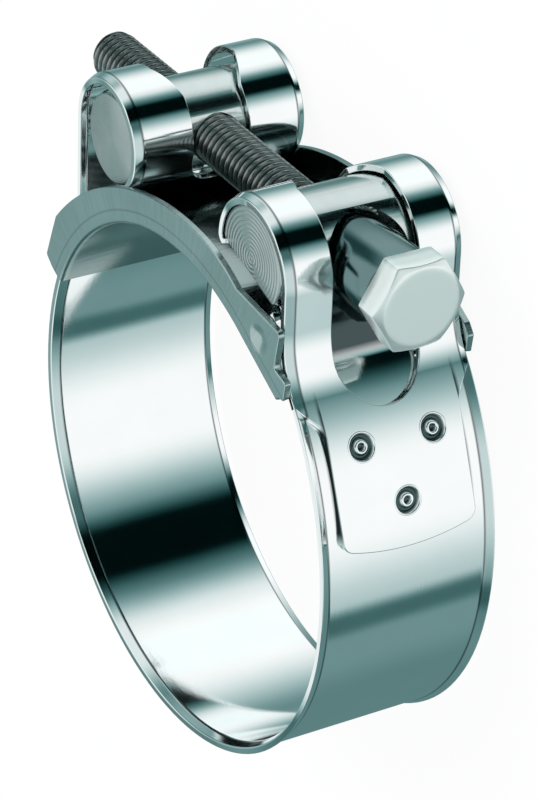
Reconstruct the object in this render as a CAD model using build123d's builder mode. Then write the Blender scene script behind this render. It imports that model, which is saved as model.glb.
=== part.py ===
from build123d import *
from math import acos, atan2, cos, degrees, radians, sin, sqrt, tan
import os

# Heavy hose clamp with one bolt, two trunnions and a folded stainless band.
# Z is the hose's axis, X the bolt's axis towards its head, Y points from the hose to the bolt.
# The origin is the middle of the bore. A bearing is an angle in degrees from +Y towards +X.
# All sizes are in millimetres.

# Band strip
bore_radius = 31.0
band_width = 22.0
sheet = 0.8
lip_width = 1.05
lip_rise = 0.5
layer_gap = 0.05

# Bearing where the ring leaves its true circle to ride over the bridge's flared front end
lift_bearing = 100.0

# Trunnions, loops and how far the bolt's line lies outside the ring's bore
bolt_rise = 4.6
loop_inner_radius = 6.5
front_leg_radius = 7.7
rear_leg_radius = 6.9
front_loop_x = 14.4
rear_loop_x = -18.2
trunnion_end_gap = 0.3
trunnion_nose_rise = 0.4
trunnion_nose_length = 0.8
trunnion_gap = 0.05
front_trunnion_radius = 6.25
rear_trunnion_radius = 5.6
flat_depth = 2.2
flat_tilt = 17.45
flat_corner_radius = 1.0

# Inner strip under the front trunnion
wall_corner_radius = 1.3
seat_corner_radius = 2.0
seat_length = 5.9
knee_bearing = 46.0
knee_radius = 4.0
seat_half_width = 9.6
seat_slot_length = 9.5
seat_slot_reach = 1.2
seat_slot_half_width = 4.95

# Outer strip: bend onto the ring, shoulders and rounded tail
leg_bend_radius = 12.0
tail_bearing = 80.7
tail_half_width = 8.4
tail_bulge = 1.2
tail_corner_radius = 1.4
tail_length = 17.7
shoulder_length = 3.1
shoulder_round = 2.0

# Slots for the bolt
slot_half_width = 5.35
slot_drop = 14.6
slot_neck_half_width = 3.6
slot_neck_bearing = 40.0
rear_slot_drop = 5.2

# Clinched points that hold each tail on the ring
clinch_radius = 1.6
clinch_ring_radius = 0.85
clinch_pin_radius = 0.4
clinch_depth = 0.55
clinch_dish = 0.12
clinch_spread = 4.5
clinch_pair_bearing = 61.6
clinch_single_bearing = 72.6
clinch_margin = 0.2

# Bridge between the hose and the band
bridge_side_gap = 0.1
bridge_bend_radius = 0.1
bridge_corner_radius = 0.45
flare_bearing = 35.2
flare_radius = 12.0
flare_turn = 17.0
profile_margin = 1.0
flange_foot = (32.5, -65.4)
flange_toe = (34.3, -64.7)
flange_heel = (35.4, -54.2)
flange_waist = (34.35, -24.0)
flange_crown = (34.7, 8.0)
flange_shoulder = (34.75, 16.0)
ear_start = (34.4, 22.6)
ear_tip = (38.3, 36.2)
ear_notch = (34.0, 39.6)
ear_step = (35.2, 43.4)
ear_foot = (33.3, 45.7)
ear_base = (32.6, 44.6)
ear_round = 0.6
far_crest = (35.4, 41.0)
ear_dish = (33.6, 33.0)
ear_dish_curve = 5.0
ear_dish_depth = 0.35

# Bolt, its thread and the spacer under its head
thread_diameter = 6.0
thread_gap = 0.05
clearance_hole_radius = 3.2
bolt_length = 65.0
bolt_end_chamfer = 0.8
head_height = 4.0
head_across_flats = 10.0
head_face_radius = 4.6
head_chamfer_angle = 30.0
washer_face_height = 0.55
washer_face_radius = 4.45
spacer_length = 13.3
spacer_radius = 4.65
spacer_edge = 0.25
counterbore_radius = 5.35

# Sizes that follow from those above
half_width = band_width / 2
bolt_height = bore_radius + bolt_rise
crease = half_width - lip_width
ring_radius = bore_radius + sheet / 2
loop_radius = loop_inner_radius + sheet / 2
trunnion_half_length = half_width - trunnion_end_gap
front_loop = Vector(front_loop_x, bolt_height)
rear_loop = Vector(rear_loop_x, bolt_height)
front_wall_x = front_loop_x - loop_inner_radius
front_trunnion_x = front_wall_x + trunnion_gap + front_trunnion_radius
rear_wall_x = rear_loop_x + loop_inner_radius
rear_trunnion_x = rear_wall_x - trunnion_gap - rear_trunnion_radius
bridge_outer_radius = bore_radius - layer_gap
bridge_inner_radius = bridge_outer_radius - sheet
flange_inner = half_width + bridge_side_gap
flange_outer = flange_inner + sheet
thread_radius = thread_diameter / 2
counterbore_x = front_trunnion_x
under_head_x = counterbore_x + spacer_length
layer_step = sheet + layer_gap
ring_centre = Vector(0, 0)
seat_direction = Vector(-cos(radians(flat_tilt)), sin(radians(flat_tilt)))
flat_normal = Vector(-sin(radians(flat_tilt)), -cos(radians(flat_tilt)))


def at(radius, bearing, centre=ring_centre):
    """Point at a radius and a bearing from a centre."""
    return centre + Vector(sin(radians(bearing)), cos(radians(bearing))) * radius


def bearing_of(point, centre=ring_centre):
    """Bearing of a point as seen from a centre."""
    return degrees(atan2(point.X - centre.X, point.Y - centre.Y))


def bearing_arc(centre, radius, start, end):
    """Arc about a centre from one bearing to another."""
    return CenterArc(centre, radius, 90 - start, start - end)


def on_bearing(start, direction, bearing):
    """Point where a straight run crosses a bearing of the ring."""
    across = at(1, bearing + 90)
    return start - direction * (start.dot(across) / direction.dot(across))


def lifted_circle(end_bearing):
    """Circle that leaves the ring smoothly and clears the bridge's front end."""
    turn = radians(lift_bearing - end_bearing)
    shift = (lifted_radius**2 - ring_radius**2) / (2 * (ring_radius - lifted_radius * cos(turn)))
    return at(-shift, lift_bearing), ring_radius + shift


def bend_onto(start, direction, side, centre, radius, bend_radius):
    """Bend that leads a straight run onto a circle from outside it."""
    normal = Vector(-direction.Y, direction.X) * side
    base = start + normal * bend_radius - centre
    along = base.dot(direction)
    reach = base.dot(base) - (radius + bend_radius) ** 2
    run = -along - sqrt(along**2 - reach)
    bend_centre = start + normal * bend_radius + direction * run
    merge = centre + (bend_centre - centre) * (radius / (radius + bend_radius))
    return bend_centre, start + direction * run, merge


def cross_tangent(loop_centre):
    """Touching points of the straight run that crosses from the ring to a loop."""
    lean = degrees(acos((ring_radius + loop_radius) / loop_centre.length))
    bearing = bearing_of(loop_centre) - lean
    return at(ring_radius, bearing), at(-loop_radius, bearing, loop_centre)


# The bridge's front end bends outwards, and the band rides over its tip
flare_centre = at(bridge_inner_radius + flare_radius, flare_bearing)
flare_end_bearing = flare_bearing + 180 - flare_turn
flare_direction = at(1, flare_end_bearing - 90)
flare_tip = on_bearing(
    at(flare_radius - sheet, flare_end_bearing, flare_centre), flare_direction, ear_base[1]
)
lifted_radius = flare_tip.length + layer_gap + sheet / 2
front_centre, front_radius = lifted_circle(ear_base[1])

# The front inner strip: down the wall, along the trunnion's flat, round its corner and onto the ring
front_trunnion_centre = Vector(front_trunnion_x, bolt_height)
seat_middle = front_trunnion_centre + flat_normal * (flat_depth + trunnion_gap + sheet / 2)
seat_drop = (seat_middle - front_loop).dot(flat_normal)
wall_corner_drop = seat_drop - wall_corner_radius
wall_corner_reach = sqrt((loop_radius - wall_corner_radius) ** 2 - wall_corner_drop**2)
wall_corner_centre = front_loop + flat_normal * wall_corner_drop + seat_direction * wall_corner_reach
seat_start = wall_corner_centre + flat_normal * wall_corner_radius
seat_corner = seat_middle - seat_direction * seat_length
knee_point = at(front_radius, knee_bearing, front_centre)
steep_direction = (knee_point - seat_corner).normalized()
knee_centre, knee_start, knee_end = bend_onto(
    seat_corner, steep_direction, 1, front_centre, front_radius, knee_radius
)

# The rear inner strip crosses straight from the ring to the loop
rear_leave, rear_touch = cross_tangent(rear_loop)


def rolled_section(start, outward, forward):
    """Section of the strip with both edges turned outwards."""
    inner = -sheet / 2
    outer = sheet / 2
    with BuildSketch(Plane(origin=start, x_dir=outward, z_dir=forward)) as section:
        with BuildLine():
            Polyline(
                (inner, -crease),
                (inner, crease),
                (inner + lip_rise, half_width),
                (outer + lip_rise, half_width),
                (outer, crease),
                (outer, -crease),
                (outer + lip_rise, -half_width),
                (inner + lip_rise, -half_width),
                close=True,
            )
        make_face()
    return section.sketch


def slot(reach, half, end):
    """Slot along a sketch's X that keeps its full width as far as its reach."""
    SlotOverall(reach + 2 * half, 2 * half, align=(end, Align.CENTER))


def slot_taper(loop_x, side):
    """Slot seen from above as it narrows over a loop towards the inner side."""
    neck_x = loop_x + side * loop_radius * sin(radians(slot_neck_bearing))
    end_x = loop_x + side * 2 * loop_radius
    with BuildLine() as taper:
        Polyline(
            (loop_x, slot_half_width),
            (neck_x, slot_neck_half_width),
            (end_x, slot_neck_half_width),
            (end_x, -slot_neck_half_width),
            (neck_x, -slot_neck_half_width),
            (loop_x, -slot_half_width),
            close=True,
        )
    make_face(taper.edges())


def tail_outline():
    """Flat outline of a tail: the shoulders, the straight sides and the rounded end."""
    start = -tail_length / 2
    end = tail_length / 2 - tail_bulge
    with BuildSketch() as outline:
        with BuildLine():
            FilletPolyline(
                (start, half_width),
                (start + shoulder_length, tail_half_width),
                (end, tail_half_width),
                radius=shoulder_round,
            )
            mirror(about=Plane.XZ)
            ThreePointArc((end, tail_half_width), (end + tail_bulge, 0), (end, -tail_half_width))
            Line((start, half_width), (start, -half_width))
        make_face()
        fillet(outline.vertices().group_by(Axis.X)[-1], radius=tail_corner_radius)
    return outline.sketch


# Strip from the front loop's top, round the hose, to the rear loop's top
with BuildPart() as inner_strip:
    with BuildLine() as inner_route:
        wall_bearing = bearing_of(wall_corner_centre, front_loop)
        bearing_arc(front_loop, loop_radius, 0, wall_bearing)
        bearing_arc(wall_corner_centre, wall_corner_radius, wall_bearing, flat_tilt - 180)
        FilletPolyline(seat_start, seat_corner, knee_start, radius=seat_corner_radius)
        knee_bearings = [bearing_of(point, knee_centre) for point in (knee_start, knee_end)]
        bearing_arc(knee_centre, knee_radius, *knee_bearings)
        bearing_arc(front_centre, front_radius, bearing_of(knee_end, front_centre), lift_bearing)
        bearing_arc(ring_centre, ring_radius, lift_bearing, 360 + bearing_of(rear_leave))
        Line(rear_leave, rear_touch)
        bearing_arc(rear_loop, loop_radius, bearing_of(rear_touch, rear_loop), 0)
    sweep(
        sections=rolled_section(at(loop_radius, 0, front_loop), (0, -1, 0), (-1, 0, 0)),
        path=inner_route.wires()[0],
    )

    # Under the trunnion's flat the strip is narrower and has no rolled edge
    for side in (1, -1):
        with BuildSketch(Plane.XY.offset(side * seat_half_width)):
            with BuildLine():
                Polyline(
                    seat_start + flat_normal * 2 * sheet,
                    seat_start - flat_normal * 2 * sheet,
                    seat_corner - flat_normal * 2 * sheet,
                    seat_corner + flat_normal * 2 * sheet,
                    close=True,
                )
            make_face()
        extrude(amount=side * half_width, mode=Mode.SUBTRACT)

    # The slots taper over both loops towards the inner side
    with BuildSketch(Plane.XZ.offset(-bolt_height)):
        slot_taper(front_loop_x, -1)
        slot_taper(rear_loop_x, 1)
    extrude(amount=-2 * loop_radius, mode=Mode.SUBTRACT)

    # The front slot runs down the wall, along the flat and ends at the seat's corner
    with BuildSketch(Plane.XZ.offset(-bolt_height)):
        with Locations((seat_corner.X, 0)):
            slot(seat_corner.X - front_wall_x + sheet, slot_neck_half_width, Align.MAX)
        with Locations((seat_corner.X + seat_slot_reach, 0)):
            seat_slot_end = (Align.MAX, Align.CENTER)
            SlotOverall(seat_slot_length + seat_slot_reach, 2 * seat_slot_half_width, align=seat_slot_end)
    extrude(amount=loop_radius, mode=Mode.SUBTRACT)

    # The rear slot ends low on the loop's inner side
    with BuildSketch(Plane.YZ.offset(rear_loop_x)):
        with Locations((bolt_height - rear_slot_drop, 0)):
            slot(rear_slot_drop, slot_neck_half_width, Align.MIN)
    extrude(amount=2 * loop_radius, mode=Mode.SUBTRACT)


def outer_strip(loop_centre, side, leg_radius, centre, radius):
    """Strip from a loop's top down the outer leg and onto the ring, with its slot and tail."""
    tail_radius = radius + layer_step
    leg_centre = loop_centre + Vector(0, loop_radius - leg_radius)
    leg_top = leg_centre + Vector(side * leg_radius, 0)
    bend_centre, leg_foot, merge = bend_onto(
        leg_top, Vector(0, -1), side, centre, tail_radius, leg_bend_radius
    )
    facing_bearing = side * (tail_bearing - degrees(tail_length / 2 / tail_radius))
    with BuildPart() as strip:
        with BuildLine() as route:
            bearing_arc(leg_centre, leg_radius, 0, side * 90)
            Line(leg_top, leg_foot)
            bearing_arc(bend_centre, leg_bend_radius, -side * 90, bearing_of(merge, bend_centre))
            bearing_arc(centre, tail_radius, bearing_of(merge, centre), side * tail_bearing)
        sweep(
            sections=rolled_section(at(loop_radius, 0, loop_centre), (0, -1, 0), (side, 0, 0)),
            path=route.wires()[0],
        )

        # Shoulders and rounded tail, cut square to the sheet
        tail_plane = Plane(
            origin=at(tail_radius, facing_bearing, centre),
            x_dir=at(1, facing_bearing + side * 90),
            z_dir=at(1, facing_bearing),
        )
        with BuildSketch(tail_plane):
            with Locations((tail_length / 2, 0)):
                Rectangle(2 * tail_length, 4 * half_width)
            add(tail_outline(), mode=Mode.SUBTRACT)
        extrude(amount=leg_bend_radius / 3, both=True, mode=Mode.SUBTRACT)

        # Slot that lets the spacer through and runs on below it
        with BuildSketch(Plane.YZ.offset(loop_centre.X)):
            with Locations((bolt_height - slot_drop, 0)):
                slot(slot_drop + 2 * loop_radius, slot_half_width, Align.MIN)
        extrude(amount=side * 2 * leg_radius, mode=Mode.SUBTRACT)
    return strip.part


def clinch_planes(side, centre, radius):
    """Planes on a tail's outer face, one for each clinched point."""
    spots = [
        (clinch_pair_bearing, clinch_spread),
        (clinch_pair_bearing, -clinch_spread),
        (clinch_single_bearing, 0),
    ]
    planes = []
    for spot_bearing, height in spots:
        foot = at(radius + layer_step + sheet / 2, side * spot_bearing, centre)
        facing = at(1, side * spot_bearing)
        planes.append(Plane(origin=(foot.X, foot.Y, height), x_dir=(0, 0, 1), z_dir=facing))
    return planes


# Band: the strip folded back at both ends and clinched to itself
with BuildPart() as band:
    add(inner_strip.part)
    add(outer_strip(front_loop, 1, front_leg_radius, front_centre, front_radius))
    add(outer_strip(rear_loop, -1, rear_leg_radius, ring_centre, ring_radius))
    front_clinches = clinch_planes(1, front_centre, front_radius)
    rear_clinches = clinch_planes(-1, ring_centre, ring_radius)
    for clinch in front_clinches + rear_clinches:
        with BuildSketch(clinch.offset(-sheet / 2)):
            Circle(clinch_radius + clinch_margin)
        extrude(amount=-sheet - layer_gap)
        with BuildSketch(clinch.offset(clinch_margin)):
            Circle(clinch_radius)
        extrude(amount=-clinch_margin - clinch_dish, mode=Mode.SUBTRACT)
        with BuildSketch(clinch):
            Circle(clinch_radius)
            Circle(clinch_ring_radius, mode=Mode.SUBTRACT)
            Circle(clinch_pin_radius)
        extrude(amount=-clinch_depth, mode=Mode.SUBTRACT)


def flange_outline(crest):
    """Outline of one flange seen along the hose: slanted rear end, waved top and stepped front end."""
    inside = bridge_inner_radius - sheet
    rear_foot = at(inside, flange_foot[1])
    front_foot = at(inside, ear_base[1])
    with BuildLine() as outline:
        Polyline(rear_foot, at(*flange_foot), at(*flange_toe), at(*flange_heel))
        ThreePointArc(at(*flange_heel), at(*flange_waist), at(*flange_crown))
        ThreePointArc(at(*flange_crown), at(*flange_shoulder), at(*ear_start))
        FilletPolyline(
            at(*ear_start),
            *[at(*point) for point in crest],
            at(*ear_step),
            at(*ear_foot),
            at(*ear_base),
            front_foot,
            radius=[ear_round] * len(crest) + [ear_round / 2, ear_round / 2, ear_round / 4],
        )
        ThreePointArc(front_foot, at(inside, 0), rear_foot)
    make_face(outline.edges())


# Side outlines of the flanges: the near one has an ear and a notch, the far one a low crest
with BuildPart() as flange_trim:
    with BuildSketch(Plane.XY):
        flange_outline([ear_tip, ear_notch])
    extrude(amount=flange_outer + sheet)
    with BuildSketch(Plane.XY):
        flange_outline([far_crest])
    extrude(amount=-flange_outer - sheet)

# Bridge: a curved plate inside the band with a flange outside each of the band's edges
with BuildPart() as bridge:
    rear_bearing = flange_foot[1] - profile_margin
    flare_end = at(flare_radius, flare_end_bearing, flare_centre)
    route_end = on_bearing(flare_end, flare_direction, ear_foot[1] + profile_margin)
    with BuildLine() as bridge_route:
        bearing_arc(ring_centre, bridge_inner_radius, rear_bearing, flare_bearing)
        bearing_arc(flare_centre, flare_radius, flare_bearing + 180, flare_end_bearing)
        Line(flare_end, route_end)
    flange_rise = ear_tip[0] + sheet - bridge_inner_radius
    profile_plane = Plane(
        origin=at(bridge_inner_radius, rear_bearing),
        x_dir=at(1, rear_bearing),
        z_dir=at(1, rear_bearing + 90),
    )
    with BuildSketch(profile_plane):
        with BuildLine():
            outer_edge = FilletPolyline(
                (flange_rise, -flange_outer),
                (0, -flange_outer),
                (0, flange_outer),
                (flange_rise, flange_outer),
                radius=bridge_corner_radius,
            )
            inner_edge = FilletPolyline(
                (flange_rise, -flange_inner),
                (sheet, -flange_inner),
                (sheet, flange_inner),
                (flange_rise, flange_inner),
                radius=bridge_bend_radius,
            )
            Line(outer_edge @ 0, inner_edge @ 0)
            Line(outer_edge @ 1, inner_edge @ 1)
        make_face()
    sweep(path=bridge_route.wires()[0])

    add(flange_trim.part, mode=Mode.INTERSECT)

    # A shallow dish is pressed into the ear
    dish_centre = at(*ear_dish)
    with Locations((dish_centre.X, dish_centre.Y, flange_outer - ear_dish_depth + ear_dish_curve)):
        Sphere(ear_dish_curve, mode=Mode.SUBTRACT)


def round_off_ends(bar):
    """Long chamfer round both ends of a trunnion, clear of the band's rolled edges."""
    for end in (bar.faces().sort_by(Axis.Z)[0], bar.faces().sort_by(Axis.Z)[-1]):
        chamfer(end.edges(), length=trunnion_nose_rise, length2=trunnion_nose_length, reference=end)


# Front trunnion: a D-shaped bar, bored for the bolt and counterbored for the spacer
with BuildPart() as front_trunnion:
    with BuildSketch(Plane.XY):
        with Locations(front_trunnion_centre):
            Circle(front_trunnion_radius)
        flat_middle = front_trunnion_centre + flat_normal * (flat_depth + front_trunnion_radius)
        with Locations(Location((flat_middle.X, flat_middle.Y, 0), (0, 0, -flat_tilt))):
            Rectangle(4 * front_trunnion_radius, 2 * front_trunnion_radius, mode=Mode.SUBTRACT)
    extrude(amount=trunnion_half_length, both=True)
    flat_edges = front_trunnion.edges().filter_by(Axis.Z).sort_by(Axis.X)
    fillet(flat_edges, radius=flat_corner_radius)
    round_off_ends(front_trunnion)
    with BuildSketch(Plane.YZ.offset(front_trunnion_x)):
        with Locations((bolt_height, 0)):
            Circle(clearance_hole_radius)
    extrude(amount=2 * front_trunnion_radius, both=True, mode=Mode.SUBTRACT)
    with BuildSketch(Plane.YZ.offset(counterbore_x)):
        with Locations((bolt_height, 0)):
            Circle(counterbore_radius)
    extrude(amount=2 * front_trunnion_radius, mode=Mode.SUBTRACT)

# Rear trunnion: a round bar with the thread's hole
with BuildPart() as rear_trunnion:
    with BuildSketch(Plane.XY):
        with Locations((rear_trunnion_x, bolt_height)):
            Circle(rear_trunnion_radius)
    extrude(amount=trunnion_half_length, both=True)
    round_off_ends(rear_trunnion)
    with BuildSketch(Plane.YZ.offset(rear_trunnion_x)):
        with Locations((bolt_height, 0)):
            Circle(thread_radius + thread_gap)
    extrude(amount=2 * rear_trunnion_radius, both=True, mode=Mode.SUBTRACT)

# Hex bolt: the head's flats face up and down, its face is chamfered
with BuildPart() as hex_bolt:
    with BuildSketch(Plane.YZ.offset(under_head_x + washer_face_height)):
        with Locations((bolt_height, 0)):
            RegularPolygon(head_across_flats / 2, 6, major_radius=False, rotation=30)
    extrude(amount=head_height - washer_face_height)
    head_corner_radius = head_across_flats / sqrt(3)
    chamfer_drop = (head_corner_radius - head_face_radius) * tan(radians(head_chamfer_angle))
    face_x = under_head_x + head_height
    with BuildSketch(Plane.XY):
        with BuildLine():
            Polyline(
                (under_head_x, bolt_height),
                (under_head_x, bolt_height + 2 * head_corner_radius),
                (face_x - chamfer_drop, bolt_height + 2 * head_corner_radius),
                (face_x - chamfer_drop, bolt_height + head_corner_radius),
                (face_x, bolt_height + head_face_radius),
                (face_x, bolt_height),
                close=True,
            )
        make_face()
    bolt_axis = Axis((0, bolt_height, 0), (1, 0, 0))
    revolve(axis=bolt_axis, mode=Mode.INTERSECT)
    with BuildSketch(Plane.YZ.offset(under_head_x)):
        with Locations((bolt_height, 0)):
            Circle(washer_face_radius)
    extrude(amount=head_height / 2)
    with BuildSketch(Plane.YZ.offset(under_head_x)):
        with Locations((bolt_height, 0)):
            Circle(thread_radius)
    extrude(amount=-bolt_length)
    chamfer(hex_bolt.faces().sort_by(Axis.X)[0].edges(), length=bolt_end_chamfer)

# Spacer: a plain tube between the head and the counterbore's floor
with BuildPart() as spacer:
    with BuildSketch(Plane.YZ.offset(counterbore_x)):
        with Locations((bolt_height, 0)):
            Circle(spacer_radius)
            Circle(clearance_hole_radius, mode=Mode.SUBTRACT)
    extrude(amount=spacer_length)
    chamfer(spacer.faces().filter_by(Axis.X).edges(), length=spacer_edge)

pieces = {
    "band": band,
    "bridge": bridge,
    "front_trunnion": front_trunnion,
    "rear_trunnion": rear_trunnion,
    "hex_bolt": hex_bolt,
    "spacer": spacer,
}
os.makedirs("parts", exist_ok=True)
for name, piece in pieces.items():
    piece.part.label = name
    export_step(piece.part, f"parts/{name}.step")
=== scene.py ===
import bisect
from functools import partial
from math import acos, asin, atan2, cos, degrees, pi, radians, sin, sqrt, tan
from operator import attrgetter

import bmesh
import bpy
from bpy.props import FloatProperty, FloatVectorProperty, IntProperty, PointerProperty
from mathutils import Matrix, Vector
from mathutils.geometry import delaunay_2d_cdt


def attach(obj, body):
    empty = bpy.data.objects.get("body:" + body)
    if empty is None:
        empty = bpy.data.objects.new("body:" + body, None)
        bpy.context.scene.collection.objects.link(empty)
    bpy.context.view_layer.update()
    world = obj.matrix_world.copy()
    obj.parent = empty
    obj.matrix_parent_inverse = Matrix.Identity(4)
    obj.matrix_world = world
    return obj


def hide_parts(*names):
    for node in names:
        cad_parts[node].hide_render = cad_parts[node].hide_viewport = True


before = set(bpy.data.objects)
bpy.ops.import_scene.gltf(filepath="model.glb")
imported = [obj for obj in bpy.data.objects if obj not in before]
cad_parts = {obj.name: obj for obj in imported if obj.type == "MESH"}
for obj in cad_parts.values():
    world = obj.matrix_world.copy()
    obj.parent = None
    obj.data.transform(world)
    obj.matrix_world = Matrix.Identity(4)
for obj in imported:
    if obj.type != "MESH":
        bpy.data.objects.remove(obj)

bl_info = {
    "name": "T bolt clamp",
    "version": (1, 0, 0),
    "blender": (4, 5, 0),
    "location": "3D View > Sidebar > Clamp",
    "description": "Builds a hose clamp with a folded band, a bridge, two trunnions and a bolt",
    "category": "Add Mesh",
}

# Sizes are in millimetres unless said otherwise. Z is the hose's axis, X the bolt's axis towards
# its head, and Y points to the bolt. A bearing is an angle in degrees from +Y towards +X.
MM = 0.001

# Band strip
BORE_RADIUS = 31.0
HALF_WIDTH = 11.0
SHEET = 0.8
CREASE = 9.95
LIP_RISE = 0.5
CREASE_BLEND = 0.22
LAYER_STEP = 0.85
FIT_GAP = 0.05
RING_RADIUS = BORE_RADIUS + SHEET / 2
LIFT_BEARING = 100.0
BOLT_HEIGHT = 35.6
LOOP_INNER_RADIUS = 6.5
LOOP_RADIUS = LOOP_INNER_RADIUS + SHEET / 2
FRONT_LEG_RADIUS = 7.7
FRONT_LOOP_X = 14.4
REAR_LOOP_X = -18.2
FLAT_DEPTH = 2.2
FLAT_TILT = 17.45
WALL_CORNER_RADIUS = 1.3
SEAT_CORNER_RADIUS = 2.0
SEAT_LENGTH = 5.9
SEAT_HALF_WIDTH = 9.6
# Length of the step from the full width to the seat's
NOTCH = 0.02
KNEE_BEARING = 46.0
KNEE_RADIUS = 4.0
LEG_BEND_RADIUS = 12.0
TAIL_BEARING = 80.7
TAIL_HALF_WIDTH = 8.4
TAIL_BULGE = 1.2
TAIL_CORNER_RADIUS = 1.4
TAIL_LENGTH = 17.7
# The strip runs on past a tail's bearing, in degrees
TAIL_SPARE = 0.6
TAIL_END = TAIL_BEARING + TAIL_SPARE
SHOULDER_LENGTH = 3.1
SHOULDER_ROUND = 2.0
SLOT_HALF_WIDTH = 5.35
SLOT_FOOT = 21.0
SLOT_NECK_HALF_WIDTH = 3.6
SLOT_NECK_BEARING = 40.0
REAR_SLOT_FOOT = 30.4
SEAT_SLOT_HALF_WIDTH = 4.95
SEAT_SLOT_LENGTH = 9.5
SEAT_SLOT_REACH = 1.2

# Clinched points: bearing on the tail and height along the hose
CLINCHES = ((61.6, 4.5), (61.6, -4.5), (72.6, 0.0))
CLINCH_HOLE_RADIUS = 1.62

# Bridge
PLATE_RADIUS = 30.15
PLATE_STRAIGHT_BEARING = 27.0
PLATE_REAR_BEARING = -65.4
PLATE_START = PLATE_REAR_BEARING - 2.5
PLATE_FRONT_BEARING = 44.6
FLANGE_OUTER = 11.9
FLANGE_INNER = 11.1
CORNER_RADIUS = 0.45
INNER_CORNER_RADIUS = 0.1
CORNER_SPAN = 0.7
PLATE_EDGE = FLANGE_OUTER - CORNER_RADIUS
FLANGE_BLEND = 2.4
# Where shade is painted as a faint line along the flange's bend, measured across the plate from its
# middle
FLANGE_LINE = 13.3
# Points of a flange's outline, each as radius and bearing: its rear, the ends and middles of its
# two arcs, its highest corners on either side, and its front. The near ear also has a dish
FLANGE_REAR = ((PLATE_RADIUS + 0.5, PLATE_REAR_BEARING), (32.5, -65.4), (34.3, -64.7))
FLANGE_HEEL, FLANGE_DIP, FLANGE_CROWN = (35.4, -54.2), (34.35, -24.0), (34.7, 8.0)
EAR_DIP, EAR_START = (34.75, 16.0), (34.4, 22.6)
FAR_CREST = ((35.4, 41.0),)
NEAR_CREST = ((38.3, 36.2), (34.0, 39.6))
EAR_FRONT = ((35.2, 43.4), (33.3, 45.7), (32.6, 44.6), (PLATE_RADIUS + 1.9, PLATE_FRONT_BEARING))
EAR_DISH = (33.6, 33.0)
EAR_DEPTH = 0.5
DISH_RADIUS = 1.9

# Trunnions, bolt and spacer
FRONT_TRUNNION_RADIUS = 6.25
REAR_TRUNNION_RADIUS = 5.6
FRONT_TRUNNION_X = 14.2
REAR_TRUNNION_X = -17.35
TRUNNION_HALF_LENGTH = 10.7
# A bar's coned end: distance from the end, and how far the section is drawn in
BAR_END = ((0.0, 0.55), (0.04, 0.42), (0.14, 0.34), (0.72, 0.04), (0.86, 0.0))
FLAT_CORNER_RADIUS = 1.0
BORE_REACH = 12.0
CLEARANCE_RADIUS = 3.2
COUNTERBORE_RADIUS = 5.35
UNDER_HEAD_X = 27.5
HEAD_HEIGHT = 4.0
HEAD_FLAT_RADIUS = 5.0
HEAD_FACE_RADIUS = 4.6
HEAD_CHAMFER = 30.0
HEAD_CORNER_ROUND = 0.3
WASHER_HEIGHT = 0.55
WASHER_RADIUS = 4.45
THREAD_RADIUS = 3.0
BOLT_LENGTH = 65.0
ROWS_IN_A_PITCH = 12
SPACER_RADIUS = 4.65
FLOOR_Z = -11.9
# Length of the strip's own map for one millimetre of sheet
STRIP_SCALE = 0.02
# Longest step between two samples of a route, and largest turn in degrees
BAND_STEP, BAND_TURN = 1.5, 3.0
PLATE_STEP, PLATE_TURN = 0.9, 1.7
FLANGE_STEP = 0.7
# Free points keep this far from a sheet's outline, and are compared with it cell by cell
EDGE_CLEARANCE = 0.12
CELL = 0.5
# Widths of the band's rows of free points up to its crease, and past it
BAND_ROWS = (0.0, 1.6, 3.2, 4.6, 6.0, 7.4, 8.6, 9.3, 9.62)
LIP_ROW = 10.45
# The dish's free points: rings, points in each, the first ring's radius and the step between rings
DISH_RINGS, DISH_STEPS = 9, 28
DISH_START, DISH_STEP = 0.02, 0.24
DISH_CLEARANCE = 2.0
# Edges that turn by more than this, in degrees, are drawn sharp
BAR_SHARP, TURNED_SHARP, CLINCH_SHARP = 25, 35, 50
# Edges of the bars' holes that turn by more than this, in degrees, are bevelled
BEVEL_ANGLE = 40

# In metres
THREAD_DEPTH = 0.00058
THREAD_CHAMFER = 0.0008
SHEET_GRAIN_DEPTH = 0.0000035
BAND_WAVE = 0.000096
BRIDGE_WAVE = 0.00012
PLEAT_DEPTH = 0.000015
FRONT_RING_DEPTH = 0.00005
REAR_RING_DEPTH = 0.00002
SPACER_RING_DEPTH = 0.000006
SPACER_RING_PITCH = 0.0003
TURNED_GRAIN_DEPTH = 0.000006
CLINCH_GRAIN_DEPTH = 0.000005
BOLT_GRAIN_DEPTH = 0.000004
HOLE_BEVEL = 0.00012

# Finishes
SHEET_GRAIN = {"Stretch": (0.12, 0.12, 3.0), "Scale": 1500.0}
EVEN_GRAIN = {"Stretch": (1.0, 1.0, 1.0), "Scale": 2400.0}
BOLT_GRAIN = {"Stretch": (1.6, 1.0, 0.35), "Scale": 1800.0}
ALONG_HOSE = (1.0, 1.0, 0.0)
ALONG_BOLT = (0.0, 1.0, 1.0)
DEEP_TEAL = (0.0, 0.025, 0.03, 1.0)
PIT_SHADE_COLOUR = (0.07, 0.12, 0.12)
SPACER_COLOUR = (0.17, 0.265, 0.27)
SPACER_ROUGHNESS = 0.13
TRUNNION_SIDE_ROUGHNESS = 0.16
# Distances from the bolt's line at which the thread's painted shade is deepest and lightest
THREAD_SHADE = (2.5, 2.97)
# Strength of the painted shade behind the front slot against that of the painted crease lines
SLOT_SHADE_STRENGTH = 1.06

RING_CENTRE = Vector((0.0, 0.0))


def left_of(direction):
    return Vector((-direction.y, direction.x))


def heading(bearing):
    return Vector((sin(radians(bearing)), cos(radians(bearing))))


def at(radius, bearing, centre=RING_CENTRE):
    return centre + heading(bearing) * radius


def bearing_of(point, centre=RING_CENTRE):
    return degrees(atan2(point.x - centre.x, point.y - centre.y))


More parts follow.
